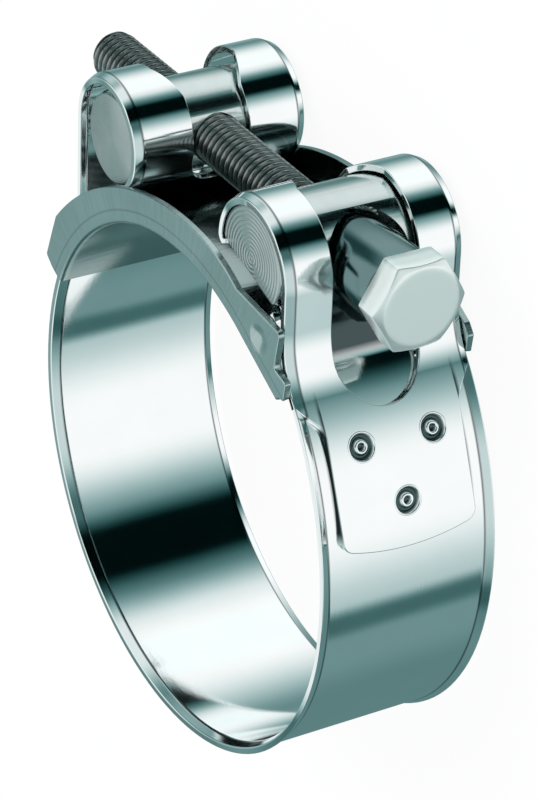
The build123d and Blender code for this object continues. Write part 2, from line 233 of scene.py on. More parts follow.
class Route:
    """Line of straight runs and arcs seen along the hose. Its left side is the outward one."""

    def __init__(self):
        self.parts = []
        self.starts = []
        self.length = 0.0

    def _add(self, part, length):
        self.parts.append(part)
        self.starts.append(self.length)
        self.length += length

    def line(self, start, end):
        self._add(("line", start, (end - start).normalized()), (end - start).length)

    def arc(self, centre, radius, start, end):
        self._add(("arc", centre, radius, start, end), abs(radians(end - start)) * radius)

    def place(self, s):
        """Point and outward normal at a distance along the route."""
        i = max(0, bisect.bisect_right(self.starts, s) - 1)
        part = self.parts[i]
        run = s - self.starts[i]
        if part[0] == "line":
            direction = part[2]
            return part[1] + direction * run, left_of(direction)
        _, centre, radius, start, end = part
        side = 1 if end > start else -1
        out = heading(start + side * degrees(run / radius))
        return centre + out * radius, out * side

    def samples(self, longest, turn):
        """Distances along the route, close together where it bends."""
        found = []
        for part, start, end in zip(self.parts, self.starts, self.starts[1:] + [self.length]):
            step = longest if part[0] == "line" else min(longest, radians(turn) * part[2])
            count = max(1, round((end - start) / step))
            found += [start + (end - start) * k / count for k in range(count)]
        return found + [self.length]

    def where(self, measure, value, low, high):
        """Distance between two others where a rising or falling measure has a value."""
        rising = measure(self.place(high)[0]) > measure(self.place(low)[0])
        for _ in range(40):
            middle = (low + high) / 2
            if (measure(self.place(middle)[0]) < value) == rising:
                low = middle
            else:
                high = middle
        return (low + high) / 2


def bend_onto(start, direction, side, centre, radius, bend_radius):
    """Bend that leads a straight run onto a circle from outside it."""
    beside = start + left_of(direction) * side * bend_radius
    base = beside - centre
    along = base.dot(direction)
    run = -along - sqrt(along**2 - (base.dot(base) - (radius + bend_radius) ** 2))
    bend_centre = beside + direction * run
    merge = centre + (bend_centre - centre) * (radius / (radius + bend_radius))
    return bend_centre, start + direction * run, merge


def angle_of(point, centre):
    return atan2(point.y - centre.y, point.x - centre.x)


def short_turn(start, end):
    return (end - start + pi) % (2 * pi) - pi


def circle(steps, shift=0.0):
    return [2 * pi * (k + shift) / steps for k in range(steps)]


def arc_points(centre, radius, start, turn, count):
    """Points on a circle with both ends. Angles are in radians from +X."""
    angles = (start + turn * k / count for k in range(count + 1))
    return [centre + Vector((cos(a), sin(a))) * radius for a in angles]


def three_point_arc(a, b, c, count):
    """Points of the circle's arc through three points."""
    d = 2 * (a.x * (b.y - c.y) + b.x * (c.y - a.y) + c.x * (a.y - b.y))
    x = (a.dot(a) * (b.y - c.y) + b.dot(b) * (c.y - a.y) + c.dot(c) * (a.y - b.y)) / d
    y = (a.dot(a) * (c.x - b.x) + b.dot(b) * (a.x - c.x) + c.dot(c) * (b.x - a.x)) / d
    centre = Vector((x, y))
    first, second, third = (atan2(p.y - y, p.x - x) for p in (a, b, c))
    turn = (third - first) % (2 * pi)
    if (second - first) % (2 * pi) > turn:
        turn -= 2 * pi
    return arc_points(centre, (a - centre).length, first, turn, count)


def rounded(points, radii):
    """Open polyline whose inner corners are rounded."""
    result = [points[0]]
    for last, corner, following, radius in zip(points, points[1:], points[2:], radii):
        before = (last - corner).normalized()
        after = (following - corner).normalized()
        half = before.angle(after) / 2
        reach = radius / tan(half)
        centre = corner + (before + after).normalized() * (radius / sin(half))
        start = angle_of(corner + before * reach, centre)
        turn = short_turn(start, angle_of(corner + after * reach, centre))
        result += arc_points(centre, radius, start, turn, 6)
    return result + [points[-1]]


def lifted_circle():
    """The ring's larger circle over the bridge's front end, tangent to its true circle."""
    tip = (PLATE_RADIUS + SHEET) / cos(radians(PLATE_FRONT_BEARING - PLATE_STRAIGHT_BEARING)) + 0.02
    lifted = tip + FIT_GAP + SHEET / 2
    turn = radians(LIFT_BEARING - PLATE_FRONT_BEARING)
    shift = (lifted**2 - RING_RADIUS**2) / (2 * (RING_RADIUS - lifted * cos(turn)))
    return at(-shift, LIFT_BEARING), RING_RADIUS + shift


FRONT_LOOP = Vector((FRONT_LOOP_X, BOLT_HEIGHT))
REAR_LOOP = Vector((REAR_LOOP_X, BOLT_HEIGHT))
FRONT_CENTRE, FRONT_RADIUS = lifted_circle()
FRONT_TAIL_RADIUS = FRONT_RADIUS + LAYER_STEP
REAR_TAIL_RADIUS = RING_RADIUS + LAYER_STEP
SEAT_DIRECTION = Vector((-cos(radians(FLAT_TILT)), sin(radians(FLAT_TILT))))
FLAT_NORMAL = Vector((-sin(radians(FLAT_TILT)), -cos(radians(FLAT_TILT))))
FRONT_AXIS = Vector((FRONT_TRUNNION_X, BOLT_HEIGHT))
REAR_AXIS = Vector((REAR_TRUNNION_X, BOLT_HEIGHT))
SEAT_MIDDLE = FRONT_AXIS + FLAT_NORMAL * (FLAT_DEPTH + FIT_GAP + SHEET / 2)
SEAT_CORNER = SEAT_MIDDLE - SEAT_DIRECTION * SEAT_LENGTH


def band_route():
    """The strip's middle line from the front tail's end, round the hose, to the rear tail's end."""
    route = Route()
    marks = {}
    leg_centre = FRONT_LOOP + Vector((0, LOOP_RADIUS - FRONT_LEG_RADIUS))
    leg_top = leg_centre + Vector((FRONT_LEG_RADIUS, 0))
    bend, foot, merge = bend_onto(
        leg_top, Vector((0, -1)), 1, FRONT_CENTRE, FRONT_TAIL_RADIUS, LEG_BEND_RADIUS
    )
    route.arc(FRONT_CENTRE, FRONT_TAIL_RADIUS, TAIL_END, bearing_of(merge, FRONT_CENTRE))
    route.arc(bend, LEG_BEND_RADIUS, bearing_of(merge, bend), -90)
    route.line(foot, leg_top)
    marks["front_leg_top"] = route.length
    route.arc(leg_centre, FRONT_LEG_RADIUS, 90, 0)
    marks["front_top"] = route.length

    drop = (SEAT_MIDDLE - FRONT_LOOP).dot(FLAT_NORMAL) - WALL_CORNER_RADIUS
    reach = sqrt((LOOP_RADIUS - WALL_CORNER_RADIUS) ** 2 - drop**2)
    wall_corner = FRONT_LOOP + FLAT_NORMAL * drop + SEAT_DIRECTION * reach
    seat_start = wall_corner + FLAT_NORMAL * WALL_CORNER_RADIUS
    wall_bearing = bearing_of(wall_corner, FRONT_LOOP)
    route.arc(FRONT_LOOP, LOOP_RADIUS, 0, wall_bearing)
    route.arc(wall_corner, WALL_CORNER_RADIUS, wall_bearing, FLAT_TILT - 180)
    marks["seat_start"] = route.length
    knee = at(FRONT_RADIUS, KNEE_BEARING, FRONT_CENTRE)
    steep = (knee - SEAT_CORNER).normalized()
    knee_centre, knee_start, knee_end = bend_onto(
        SEAT_CORNER, steep, 1, FRONT_CENTRE, FRONT_RADIUS, KNEE_RADIUS
    )
    turn = (-SEAT_DIRECTION).angle(steep)
    reach = SEAT_CORNER_RADIUS * tan(turn / 2)
    corner_in = SEAT_CORNER + SEAT_DIRECTION * reach
    corner_centre = corner_in + FLAT_NORMAL * SEAT_CORNER_RADIUS
    route.line(seat_start, corner_in)
    start_bearing = bearing_of(corner_in, corner_centre)
    marks["seat_end"] = route.length + radians(degrees(turn) / 2) * SEAT_CORNER_RADIUS
    route.arc(corner_centre, SEAT_CORNER_RADIUS, start_bearing, start_bearing + degrees(turn))
    route.line(route.place(route.length)[0], knee_start)
    bearings = [bearing_of(p, knee_centre) for p in (knee_start, knee_end)]
    route.arc(knee_centre, KNEE_RADIUS, *bearings)
    route.arc(FRONT_CENTRE, FRONT_RADIUS, bearing_of(knee_end, FRONT_CENTRE), LIFT_BEARING)

    lean = degrees(acos((RING_RADIUS + LOOP_RADIUS) / REAR_LOOP.length))
    leave = bearing_of(REAR_LOOP) - lean
    touch = at(-LOOP_RADIUS, leave, REAR_LOOP)
    route.arc(RING_CENTRE, RING_RADIUS, LIFT_BEARING, 360 + leave)
    route.line(at(RING_RADIUS, leave), touch)
    marks["rear_loop_start"] = route.length
    route.arc(REAR_LOOP, LOOP_RADIUS, bearing_of(touch, REAR_LOOP), 0)
    marks["rear_top"] = route.length
    leg_top = REAR_LOOP + Vector((-LOOP_RADIUS, 0))
    route.arc(REAR_LOOP, LOOP_RADIUS, 0, -90)
    marks["rear_leg_top"] = route.length
    bend, foot, merge = bend_onto(
        leg_top, Vector((0, -1)), -1, RING_CENTRE, REAR_TAIL_RADIUS, LEG_BEND_RADIUS
    )
    route.line(leg_top, foot)
    route.arc(bend, LEG_BEND_RADIUS, 90, bearing_of(merge, bend))
    route.arc(RING_CENTRE, REAR_TAIL_RADIUS, bearing_of(merge), -TAIL_END)
    return route, marks


def tail_edge():
    """Half of a tail's flat outline from its tip to its shoulder: place along it and half width."""
    end = TAIL_LENGTH / 2 - TAIL_BULGE
    tip = Vector((end + TAIL_BULGE, 0.0))
    corner = Vector((end, TAIL_HALF_WIDTH))
    bulge = three_point_arc(Vector((end, -TAIL_HALF_WIDTH)), tip, corner, 24)[12:-2]
    start = -TAIL_LENGTH / 2
    shoulder = Vector((start + SHOULDER_LENGTH, TAIL_HALF_WIDTH))
    flank = [bulge[-1], corner, shoulder, Vector((start, HALF_WIDTH))]
    return bulge[:-1] + rounded(flank, [TAIL_CORNER_RADIUS, SHOULDER_ROUND])


def band_loops(route, marks):
    """Flat outlines of the strip, its two slots and the clinch holes."""
    total = route.length
    steps = route.samples(BAND_STEP, BAND_TURN)
    height, across = attrgetter("y"), attrgetter("x")
    quarter = [radians(10 * k) for k in range(10)]
    tails = ((FRONT_TAIL_RADIUS, 0.0, 1), (REAR_TAIL_RADIUS, total, -1))

    def tail_side(radius, end_s, sign):
        middle = end_s + sign * (TAIL_LENGTH / 2 + radians(TAIL_SPARE) * radius)
        return [Vector((middle - sign * radius * asin(p.x / radius), p.y)) for p in tail_edge()]

    def run(low, high, width):
        """Points at one width on the samples between two distances."""
        return [Vector((s, width)) for s in steps if low < s < high]

    def arch(measure, middle, radius, low, high, angles, side=-1):
        """A slot's round end, set out by the height or the place of the folded strip."""
        spots = [(middle + side * radius * cos(a), radius * sin(a)) for a in angles]
        return [Vector((route.where(measure, spot, low, high), width)) for spot, width in spots]

    def taper(spots, loop_x):
        """A slot's side where it narrows towards the top of a loop's far side."""
        found = []
        for s in spots:
            share = abs(route.place(s)[0].x - loop_x) / neck
            width = SLOT_HALF_WIDTH + (SLOT_NECK_HALF_WIDTH - SLOT_HALF_WIDTH) * share
            found.append(Vector((s, width)))
        return found

    def closed(half):
        return half + [Vector((p.x, -p.y)) for p in reversed(half[:-1])][:-1]

    # Tenths of a millimetre below keep the samples off corners that have their own point
    front, rear = (tail_side(*tail) for tail in tails)
    seat_start, seat_end = marks["seat_start"], marks["seat_end"]
    upper = front + run(front[-1].x + 0.2, seat_start - 0.1, HALF_WIDTH)
    upper += [Vector((seat_start, HALF_WIDTH)), Vector((seat_start + NOTCH, SEAT_HALF_WIDTH))]
    upper += run(seat_start + 0.2, seat_end - 0.2, SEAT_HALF_WIDTH)
    upper += [Vector((seat_end - NOTCH, SEAT_HALF_WIDTH)), Vector((seat_end, HALF_WIDTH))]
    upper += run(seat_end + 0.1, rear[-1].x - 0.2, HALF_WIDTH) + rear[::-1]
    # Seen with the distance to the right and the width up, the lower side comes first
    outline = [Vector((p.x, -p.y)) for p in upper] + upper[::-1][1:-1]

    neck = LOOP_RADIUS * sin(radians(SLOT_NECK_BEARING))
    neck_length = radians(SLOT_NECK_BEARING) * LOOP_RADIUS
    foot_middle = SLOT_FOOT + SLOT_HALF_WIDTH
    top = marks["front_top"]
    neck_s = top + neck_length
    slot = arch(height, foot_middle, SLOT_HALF_WIDTH, 0, marks["front_leg_top"], quarter)
    slot += run(slot[-1].x + 0.3, top + 0.01, SLOT_HALF_WIDTH)
    slot += taper([s for s in steps if top + 0.1 < s < neck_s - 0.2] + [neck_s], FRONT_LOOP_X)
    seat = (seat_start, seat_end + 4.0)
    wide_middle = SEAT_CORNER.x - SEAT_SLOT_LENGTH + SEAT_SLOT_HALF_WIDTH
    half_chord = sqrt(SEAT_SLOT_HALF_WIDTH**2 - SLOT_NECK_HALF_WIDTH**2)
    widen = route.where(across, wide_middle - half_chord, *seat)
    slot += run(neck_s + 0.2, widen - 0.2, SLOT_NECK_HALF_WIDTH)
    first = asin(SLOT_NECK_HALF_WIDTH / SEAT_SLOT_HALF_WIDTH)
    angles = [first + (pi / 2 - first) * k / 5 for k in range(6)]
    slot += arch(across, wide_middle, SEAT_SLOT_HALF_WIDTH, *seat, angles)
    far_middle = SEAT_CORNER.x + SEAT_SLOT_REACH - SEAT_SLOT_HALF_WIDTH
    for p in arch(across, far_middle, SEAT_SLOT_HALF_WIDTH, *seat, quarter[::-1], 1):
        if p.x > slot[-1].x + 0.02:
            slot.append(p)
    loops = [outline, closed(slot)]

    top = marks["rear_top"]
    neck_s = top - neck_length
    slot = arch(
        height, REAR_SLOT_FOOT + SLOT_NECK_HALF_WIDTH, SLOT_NECK_HALF_WIDTH,
        marks["rear_loop_start"] - 3.0, top, quarter,
    )
    slot += run(slot[-1].x + 0.2, neck_s - 0.1, SLOT_NECK_HALF_WIDTH)
    slot += taper([neck_s] + [s for s in steps if neck_s + 0.2 < s < top - 0.1], REAR_LOOP_X)
    leg = (marks["rear_leg_top"], total)
    slot += run(top - 0.01, route.where(height, foot_middle, *leg) - 0.3, SLOT_HALF_WIDTH)
    slot += arch(height, foot_middle, SLOT_HALF_WIDTH, *leg, quarter[::-1])
    loops.append(closed(slot))

    for radius, end_s, sign in tails:
        for spot, width in CLINCHES:
            s = end_s + sign * radians(TAIL_END - spot) * radius
            loops.append([
                Vector((s + CLINCH_HOLE_RADIUS * cos(a), width - CLINCH_HOLE_RADIUS * sin(a)))
                for a in circle(24)
            ])
    return loops


def signed_area(loop):
    return sum(a.x * b.y - b.x * a.y for a, b in zip(loop, loop[1:] + loop[:1])) / 2


def outward_sides(loop):
    """At each corner of a loop, the flat direction away from the material on the loop's left."""
    result = []
    for i, point in enumerate(loop):
        before = (point - loop[i - 1]).normalized()
        after = (loop[(i + 1) % len(loop)] - point).normalized()
        result.append(-(left_of(before) + left_of(after)).normalized())
    return result


def inside(point, loops):
    """True where a flat point lies in the first loop and in none of the others."""
    found = 0
    x, y = point
    for loop, low_x, high_x, low_y, high_y in loops:
        if not (low_x <= x <= high_x and low_y <= y <= high_y):
            continue
        a = loop[-1]
        for b in loop:
            if (a.y > y) != (b.y > y) and x < (b.x - a.x) * (y - a.y) / (b.y - a.y) + a.x:
                found += 1
            a = b
    return found % 2 == 1


def cell_of(point):
    return int(point.x // CELL), int(point.y // CELL)


def sheet_mesh(name, loops, grid, surface, edge):
    """Closed sheet from flat outlines: two skins and a rim with rounded edges.

    surface(s, w, t) gives the point and the outward normal at a share t, from -1 to 1, of the
    thickness.
    """
    loops = [
        loop if (signed_area(loop) > 0) == (i == 0) else loop[::-1] for i, loop in enumerate(loops)
    ]
    sides = [outward_sides(loop) for loop in loops]
    inset = [
        [p - side * edge for p, side in zip(loop, around)] for loop, around in zip(loops, sides)
    ]
    flat, edges, boxed, cells = [], [], [], {}
    for loop in inset:
        xs, ys = [p.x for p in loop], [p.y for p in loop]
        boxed.append((loop, min(xs), max(xs), min(ys), max(ys)))
        base, count = len(flat), len(loop)
        edges += [(base + k, base + (k + 1) % count) for k in range(count)]
        flat += loop
        for p in loop:
            cells.setdefault(cell_of(p), []).append(p)

    def near_edge(p):
        x, y = cell_of(p)
        near = ((x + i, y + j) for i in (-1, 0, 1) for j in (-1, 0, 1))
        return any((p - q).length < EDGE_CLEARANCE for cell in near for q in cells.get(cell, ()))

    flat += [p for p in grid if inside(p, boxed) and not near_edge(p)]
    verts, _, faces, origins, _, _ = delaunay_2d_cdt(flat, edges, [], 0, 1e-5)
    index_of = {o: new for new, old in enumerate(origins) for o in old}
    points, normals, patches, strip = [], [], [], []
    for sign in (1, -1):
        for v in verts:
            point, normal = surface(v.x, v.y, float(sign))
            points.append(point)
            normals.append(normal * sign)
            strip.append((v.x, v.y))
    count = len(verts)
    for f in faces:
        if inside(sum((verts[i] for i in f), Vector((0.0, 0.0))) / len(f), boxed):
            for i in range(1, len(f) - 1):
                patches.append((f[0], f[i + 1], f[i]))
                patches.append((count + f[0], count + f[i], count + f[i + 1]))

    # The rim goes round the edge in rows, each at an angle from the edge's middle and near one skin
    bends = [(60, 1), (25, 1), (0, 1), (0, -1), (-25, -1), (-60, -1)]
    half = SHEET / 2
    base = 0
    for loop, around in zip(inset, sides):
        rows = [[index_of[base + k] for k in range(len(loop))]]
        for angle, skin in bends:
            row = []
            rise, reach = sin(radians(angle)), cos(radians(angle))
            share = ((half - edge) * skin + edge * rise) / half
            for p, side in zip(loop, around):
                q = p + side * (edge * reach)
                point, up = surface(q.x, q.y, share)
                away = surface(q.x + side.x * 0.01, q.y + side.y * 0.01, share)[0] - point
                away.normalize()
                row.append(len(points))
                points.append(point)
                normals.append((away * reach + up * rise).normalized())
                strip.append((q.x, q.y))
            rows.append(row)
        rows.append([count + i for i in rows[0]])
        for upper, lower in zip(rows, rows[1:]):
            for k in range(len(loop)):
                n = (k + 1) % len(loop)
                patches.append((upper[k], upper[n], lower[n], lower[k]))
        base += len(loop)

    mesh = bpy.data.meshes.new(name)
    mesh.from_pydata([tuple(p * MM) for p in points], [], patches)
    layer = mesh.uv_layers.new(name="Strip")
    for corner in mesh.loops:
        s, w = strip[corner.vertex_index]
        layer.data[corner.index].uv = (s * STRIP_SCALE, w * STRIP_SCALE + 0.5)
    mesh.shade_smooth()
    mesh.normals_split_custom_set_from_vertices([tuple(n) for n in normals])
    mesh.validate()
    return mesh


def lip(w):
    """Rise of the strip's rolled edge at a width, and its slope."""
    reach = abs(w) - CREASE
    slope = LIP_RISE / (HALF_WIDTH - CREASE)
    sign = 1 if w > 0 else -1
    if reach <= -CREASE_BLEND:
        return 0.0, 0.0
    if reach >= CREASE_BLEND:
        return slope * reach, slope * sign
    share = reach + CREASE_BLEND
    return slope * share**2 / (4 * CREASE_BLEND), sign * slope * share / (2 * CREASE_BLEND)


def band_surface(route):
    def surface(s, w, share):
        point, out = route.place(min(max(s, 0.0), route.length))
        rise, slope = lip(w)
        spot = point + out * (share * SHEET / 2 + rise)
        normal = Vector((out.x, out.y, -slope)).normalized()
        return Vector((spot.x, spot.y, w)), normal

    return surface


def linked(name, data):
    """New object in the scene."""
    item = bpy.data.objects.new(name, data)
    bpy.context.scene.collection.objects.link(item)
    return item


def new_piece(name, mesh, body, material, *nodes, slot=None):
    piece = linked(name, mesh)
    mesh.materials.clear()
    mesh.materials.append(material)
    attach(piece, body)
    if nodes:
        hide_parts(*nodes)


def plain_mesh(source, name):
    """Mesh of an object with its modifiers applied."""
    bpy.context.view_layer.update()
    graph = bpy.context.evaluated_depsgraph_get()
    mesh = bpy.data.meshes.new_from_object(source.evaluated_get(graph), depsgraph=graph)
    mesh.name = name
    return mesh


def discard(*objects):
    for o in objects:
        bpy.data.objects.remove(o, do_unlink=True)


def smooth(mesh, sharp_angle):
    mesh.shade_smooth()
    mesh.set_sharp_from_angle(angle=radians(sharp_angle))


def skinned(name, rings, turned=False, closed=False):
    """Closed mesh through rings of points in millimetres, each joined to the next.

    A ring of one point is a tip. The ends are capped, or joined where the rings run in a circle.
    """
    work = bmesh.new()
    rows = [[work.verts.new([c * MM for c in p]) for p in ring] for ring in rings]
    faces = []
    for a, b in zip(rows, rows[1:] + rows[:1] * closed):
        count = max(len(a), len(b))
        for k in range(count):
            n = (k + 1) % count
            if len(a) == 1:
                faces.append((a[0], b[k], b[n]))
            elif len(b) == 1:
                faces.append((a[k], b[0], a[n]))
            elif turned:
                faces.append((a[k], b[k], b[n], a[n]))
            else:
                faces.append((a[k], a[n], b[n], b[k]))
    if not closed:
        first, last = (rows[0], rows[-1][::-1]) if turned else (rows[0][::-1], rows[-1])
        faces += [cap for cap in (first, last) if len(cap) > 1]
    for face in faces:
        work.faces.new(face)
    return finished(name, work)


def finished(name, work):
    """Mesh from a bmesh whose faces all look outward."""
    bmesh.ops.recalc_face_normals(work, faces=work.faces)
    mesh = bpy.data.meshes.new(name)
    work.to_mesh(mesh)
    work.free()
    return mesh


def round_bolt(x, radius, angle):
    """Point on a circle round the bolt's line."""
    return x, BOLT_HEIGHT + radius * cos(angle), radius * sin(angle)


# Nodes

def add_node(tree, kind, inputs=(), **attributes):
    """Node with its attributes set and its inputs, by order or by name, linked or given a value."""
    item = tree.nodes.new(kind)
    for label, value in attributes.items():
        setattr(item, label, value)
    for key, value in inputs.items() if isinstance(inputs, dict) else enumerate(inputs):
        if isinstance(value, bpy.types.NodeSocket):
            tree.links.new(value, item.inputs[key])
        else:
            item.inputs[key].default_value = value
    return item


def maths(tree, operation, *sources):
    return add_node(tree, "ShaderNodeMath", sources, operation=operation).outputs[0]


def vector_maths(tree, operation, *sources, output="Vector"):
    return add_node(tree, "ShaderNodeVectorMath", sources, operation=operation).outputs[output]


def remap(tree, value, start, end, low=0.0, high=1.0, kind="LINEAR"):
    """Value that goes from low to high while another goes from start to end."""
    inputs = {"Value": value, "From Min": start, "From Max": end, "To Min": low, "To Max": high}
    return add_node(tree, "ShaderNodeMapRange", inputs, interpolation_type=kind).outputs["Result"]


def mixed(tree, kind, share, first, second):
    inputs = {"Factor": share, "A": first, "B": second}
    return add_node(tree, "ShaderNodeMix", inputs, data_type=kind).outputs["Result"]


def noise(tree, vector, scale, detail, rough=0.5):
    inputs = {"Vector": vector, "Scale": scale, "Detail": detail, "Roughness": rough}
    return add_node(tree, "ShaderNodeTexNoise", inputs).outputs["Fac"]


def node_group(name, kind, inputs, outputs):
    """Node group with inputs given by name, socket kind and value, and outputs by name and kind."""
    group = bpy.data.node_groups.new(name, kind)
    for label, socket, value in inputs:
        item = group.interface.new_socket(label, in_out="INPUT", socket_type="NodeSocket" + socket)
        if value is not None:
            item.default_value = value
    for label, socket in outputs:
        group.interface.new_socket(label, in_out="OUTPUT", socket_type="NodeSocket" + socket)
    taken, given = group.nodes.new("NodeGroupInput"), group.nodes.new("NodeGroupOutput")
    return group, taken.outputs, given.inputs


def node_tree(name, inputs):
    """Geometry node tree with a geometry input and output and named values."""
    rows = [("Geometry", "Geometry", None), *inputs]
    return node_group(name, "GeometryNodeTree", rows, [("Geometry", "Geometry")])


def realized(tree, geometry, material, given):
    """The end of a tree: real geometry with its material."""
    real = add_node(tree, "GeometryNodeRealizeInstances", (geometry,))
    inputs = {"Geometry": real.outputs[0], "Material": material}
    paint = add_node(tree, "GeometryNodeSetMaterial", inputs)
    tree.links.new(paint.outputs[0], given[0])
    return tree


def run_tree(tree, host, values, fewest):
    """Put a tree on an object, with its inputs set by their identifiers."""
    modifier = host.modifiers.new(tree.name, "NODES")
    modifier.node_group = tree
    for item in tree.interface.items_tree:
        if item.item_type == "SOCKET" and item.in_out == "INPUT" and item.name in values:
            modifier[item.identifier] = values[item.name]
    mesh = plain_mesh(host, tree.name)
    if len(mesh.polygons) < fewest:
        raise RuntimeError(tree.name + " came out empty")
    return mesh


# Finishes

def shader_group(name, inputs, outputs):
    """Shader node group with a vector, named values and named outputs."""
    rows = [("Vector", "Vector", (0.0, 0.0, 0.0))]
    for label, value in inputs:
        rows.append((label, "Vector" if isinstance(value, tuple) else "Float", value))
    return node_group(name, "ShaderNodeTree", rows, [(label, "Float") for label in outputs])


def grain_group():
    """Rolled or brushed grain: fine noise drawn out along one direction, and slow patches."""
    group, taken, given = shader_group(
        "Sheet grain", [("Stretch", (1.0, 1.0, 1.0)), ("Scale", 900.0)], ["Height", "Patches"]
    )
    vector = vector_maths(group, "MULTIPLY", taken["Vector"], taken["Stretch"])
    group.links.new(noise(group, vector, taken["Scale"], 5.0, 0.62), given["Height"])
    group.links.new(noise(group, taken["Vector"], 210.0, 3.0), given["Patches"])
    return group


def turning_group():
    """Rings left by turning: waves round an axis that runs along the piece's Z or X."""
    inputs = [("Centre", (0.0, 0.0, 0.0)), ("Plane", (1.0, 1.0, 0.0)), ("Pitch", 0.0003)]
    group, taken, given = shader_group("Turning rings", inputs, ["Height", "Radius"])
    shift = vector_maths(group, "SUBTRACT", taken["Vector"], taken["Centre"])
    flat = vector_maths(group, "MULTIPLY", shift, taken["Plane"])
    radius = vector_maths(group, "LENGTH", flat, output="Value")
    wander = maths(group, "MULTIPLY", noise(group, flat, 260.0, 2.0), 0.00012)
    turns = maths(group, "DIVIDE", maths(group, "ADD", radius, wander), taken["Pitch"])
    wave = maths(group, "SINE", maths(group, "MULTIPLY", turns, 2 * pi))
    height = maths(group, "MULTIPLY", wave, noise(group, flat, 900.0, 3.0))
    group.links.new(height, given["Height"])
    group.links.new(radius, given["Radius"])
    return group


def pleats_and_shade_line_group():
    """Follows a folded strip: the mask of a line off its middle, where the finishes paint shade,
    and pleats across it.
    """
    group, taken, given = shader_group(
        "Strip marks",
        [("Crease", CREASE), ("Line width", 0.2), ("Pleats", 90.0)],
        ["Line", "Pleat height"],
    )
    calc = partial(maths, group)
    parts = add_node(group, "ShaderNodeSeparateXYZ", (taken["Vector"],)).outputs
    across = calc("MULTIPLY", calc("SUBTRACT", parts["Y"], 0.5), 1 / STRIP_SCALE)
    gap = calc("ABSOLUTE", calc("SUBTRACT", calc("ABSOLUTE", across), taken["Crease"]))
    share = calc("SUBTRACT", 1.0, calc("DIVIDE", gap, taken["Line width"]))
    group.links.new(calc("MAXIMUM", share, 0.0), given["Line"])
    along = vector_maths(group, "MULTIPLY", taken["Vector"], (1.0, 0.12, 1.0))
    group.links.new(noise(group, along, taken["Pleats"], 3.0, 0.6), given["Pleat height"])
    return group


GROUP_MAKERS = {
    "Sheet grain": grain_group,
    "Turning rings": turning_group,
    "Strip marks": pleats_and_shade_line_group,
}


def shade(colour, factor=1.0):
    return (*(min(1.0, c * factor) for c in colour), 1.0)


class Finish:
    """Material under construction: its tree, its shader and the object's own coordinates."""

    def __init__(self, name, roughness):
        self.material = bpy.data.materials.new(name)
        self.material.use_nodes = True
        self.tree = self.material.node_tree
        self.tree.nodes.clear()
        inputs = {"Metallic": 1.0, "Roughness": roughness}
        self.shader = add_node(self.tree, "ShaderNodeBsdfPrincipled", inputs)
        add_node(self.tree, "ShaderNodeOutputMaterial", {"Surface": self.shader.outputs[0]})
        self.vector = add_node(self.tree, "ShaderNodeTexCoord").outputs["Object"]
        parts = add_node(self.tree, "ShaderNodeSeparateXYZ", (self.vector,)).outputs
        self.x, self.y = parts["X"], parts["Y"]
        self.off_middle = maths(self.tree, "ABSOLUTE", parts["Z"])
        self.normal = None

    def use(self, name, **values):
        """Outputs of a shared node group."""
        group = bpy.data.node_groups.get(name) or GROUP_MAKERS[name]()
        inputs = {"Vector": self.vector, **values}
        return add_node(self.tree, "ShaderNodeGroup", inputs, node_tree=group).outputs

    def feed(self, label, source):
        self.tree.links.new(source, self.shader.inputs[label])

    def blend_colour(self, mask, low, high, start=0.3, end=0.7):
        """Colour from low to high as the mask goes from start to end. None is the colour so far."""
        if None in (low, high):
            current = self.shader.inputs["Base Color"].links[0].from_socket
            low, high = low or current, high or current
        share = remap(self.tree, mask, start, end)
        self.feed("Base Color", mixed(self.tree, "RGBA", share, low, high))

    def blend_roughness(self, mask, low, high, start=0.3, end=0.7):
        self.feed("Roughness", remap(self.tree, mask, start, end, low, high))

    def darken(self, mask, amount):
        """Lower the colour so far by a share where the mask is 1."""
        share = maths(self.tree, "MULTIPLY", mask, amount)
        self.blend_colour(share, None, DEEP_TEAL, 0.0, 1.0)

    def bump(self, height, distance):
        """Add a relief, in metres, to those so far."""
        inputs = {"Height": height, "Distance": distance, "Strength": 1.0}
        if self.normal:
            inputs["Normal"] = self.normal
        self.normal = add_node(self.tree, "ShaderNodeBump", inputs).outputs[0]
        self.feed("Normal", self.normal)

    def within(self, *rows):
        """Product of ramps, each 0 at one value and 1 at another, both in millimetres."""
        mask = 1.0
        for value, zero, one in rows:
            mask = maths(self.tree, "MULTIPLY", mask, remap(self.tree, value, zero * MM, one * MM))
        return mask


def shade_beside_tails(finish):
    """Mask of painted shade: 1 on the sheet edges at the tails' sides and in the gap beside them.
    """
    flat = vector_maths(finish.tree, "MULTIPLY", finish.vector, ALONG_HOSE)
    radius = vector_maths(finish.tree, "LENGTH", flat, output="Value")
    return finish.within(
        (finish.off_middle, TAIL_HALF_WIDTH - 0.1, TAIL_HALF_WIDTH),
        (finish.off_middle, TAIL_HALF_WIDTH + 0.45, TAIL_HALF_WIDTH + 0.1),
        (radius, BORE_RADIUS + 0.3, BORE_RADIUS + 0.5),
        (finish.y, 8.2, 9.6),
        (finish.y, 24.0, 22.0),
    )


def shade_behind_slot(finish):
    """Mask of painted shade: 1 on the strip that rises behind the front slot, where little light
    gets in.
    """
    depth = maths(finish.tree, "ADD", finish.x, maths(finish.tree, "MULTIPLY", finish.y, 0.26))
    return finish.within(
        (finish.x, 14.0, 16.0),
        (finish.off_middle, SLOT_HALF_WIDTH, SLOT_HALF_WIDTH - 0.3),
        (depth, 28.6, 28.35),
        (finish.y, 22.5, 24.5),
        (finish.y, 34.0, 33.0),
    )


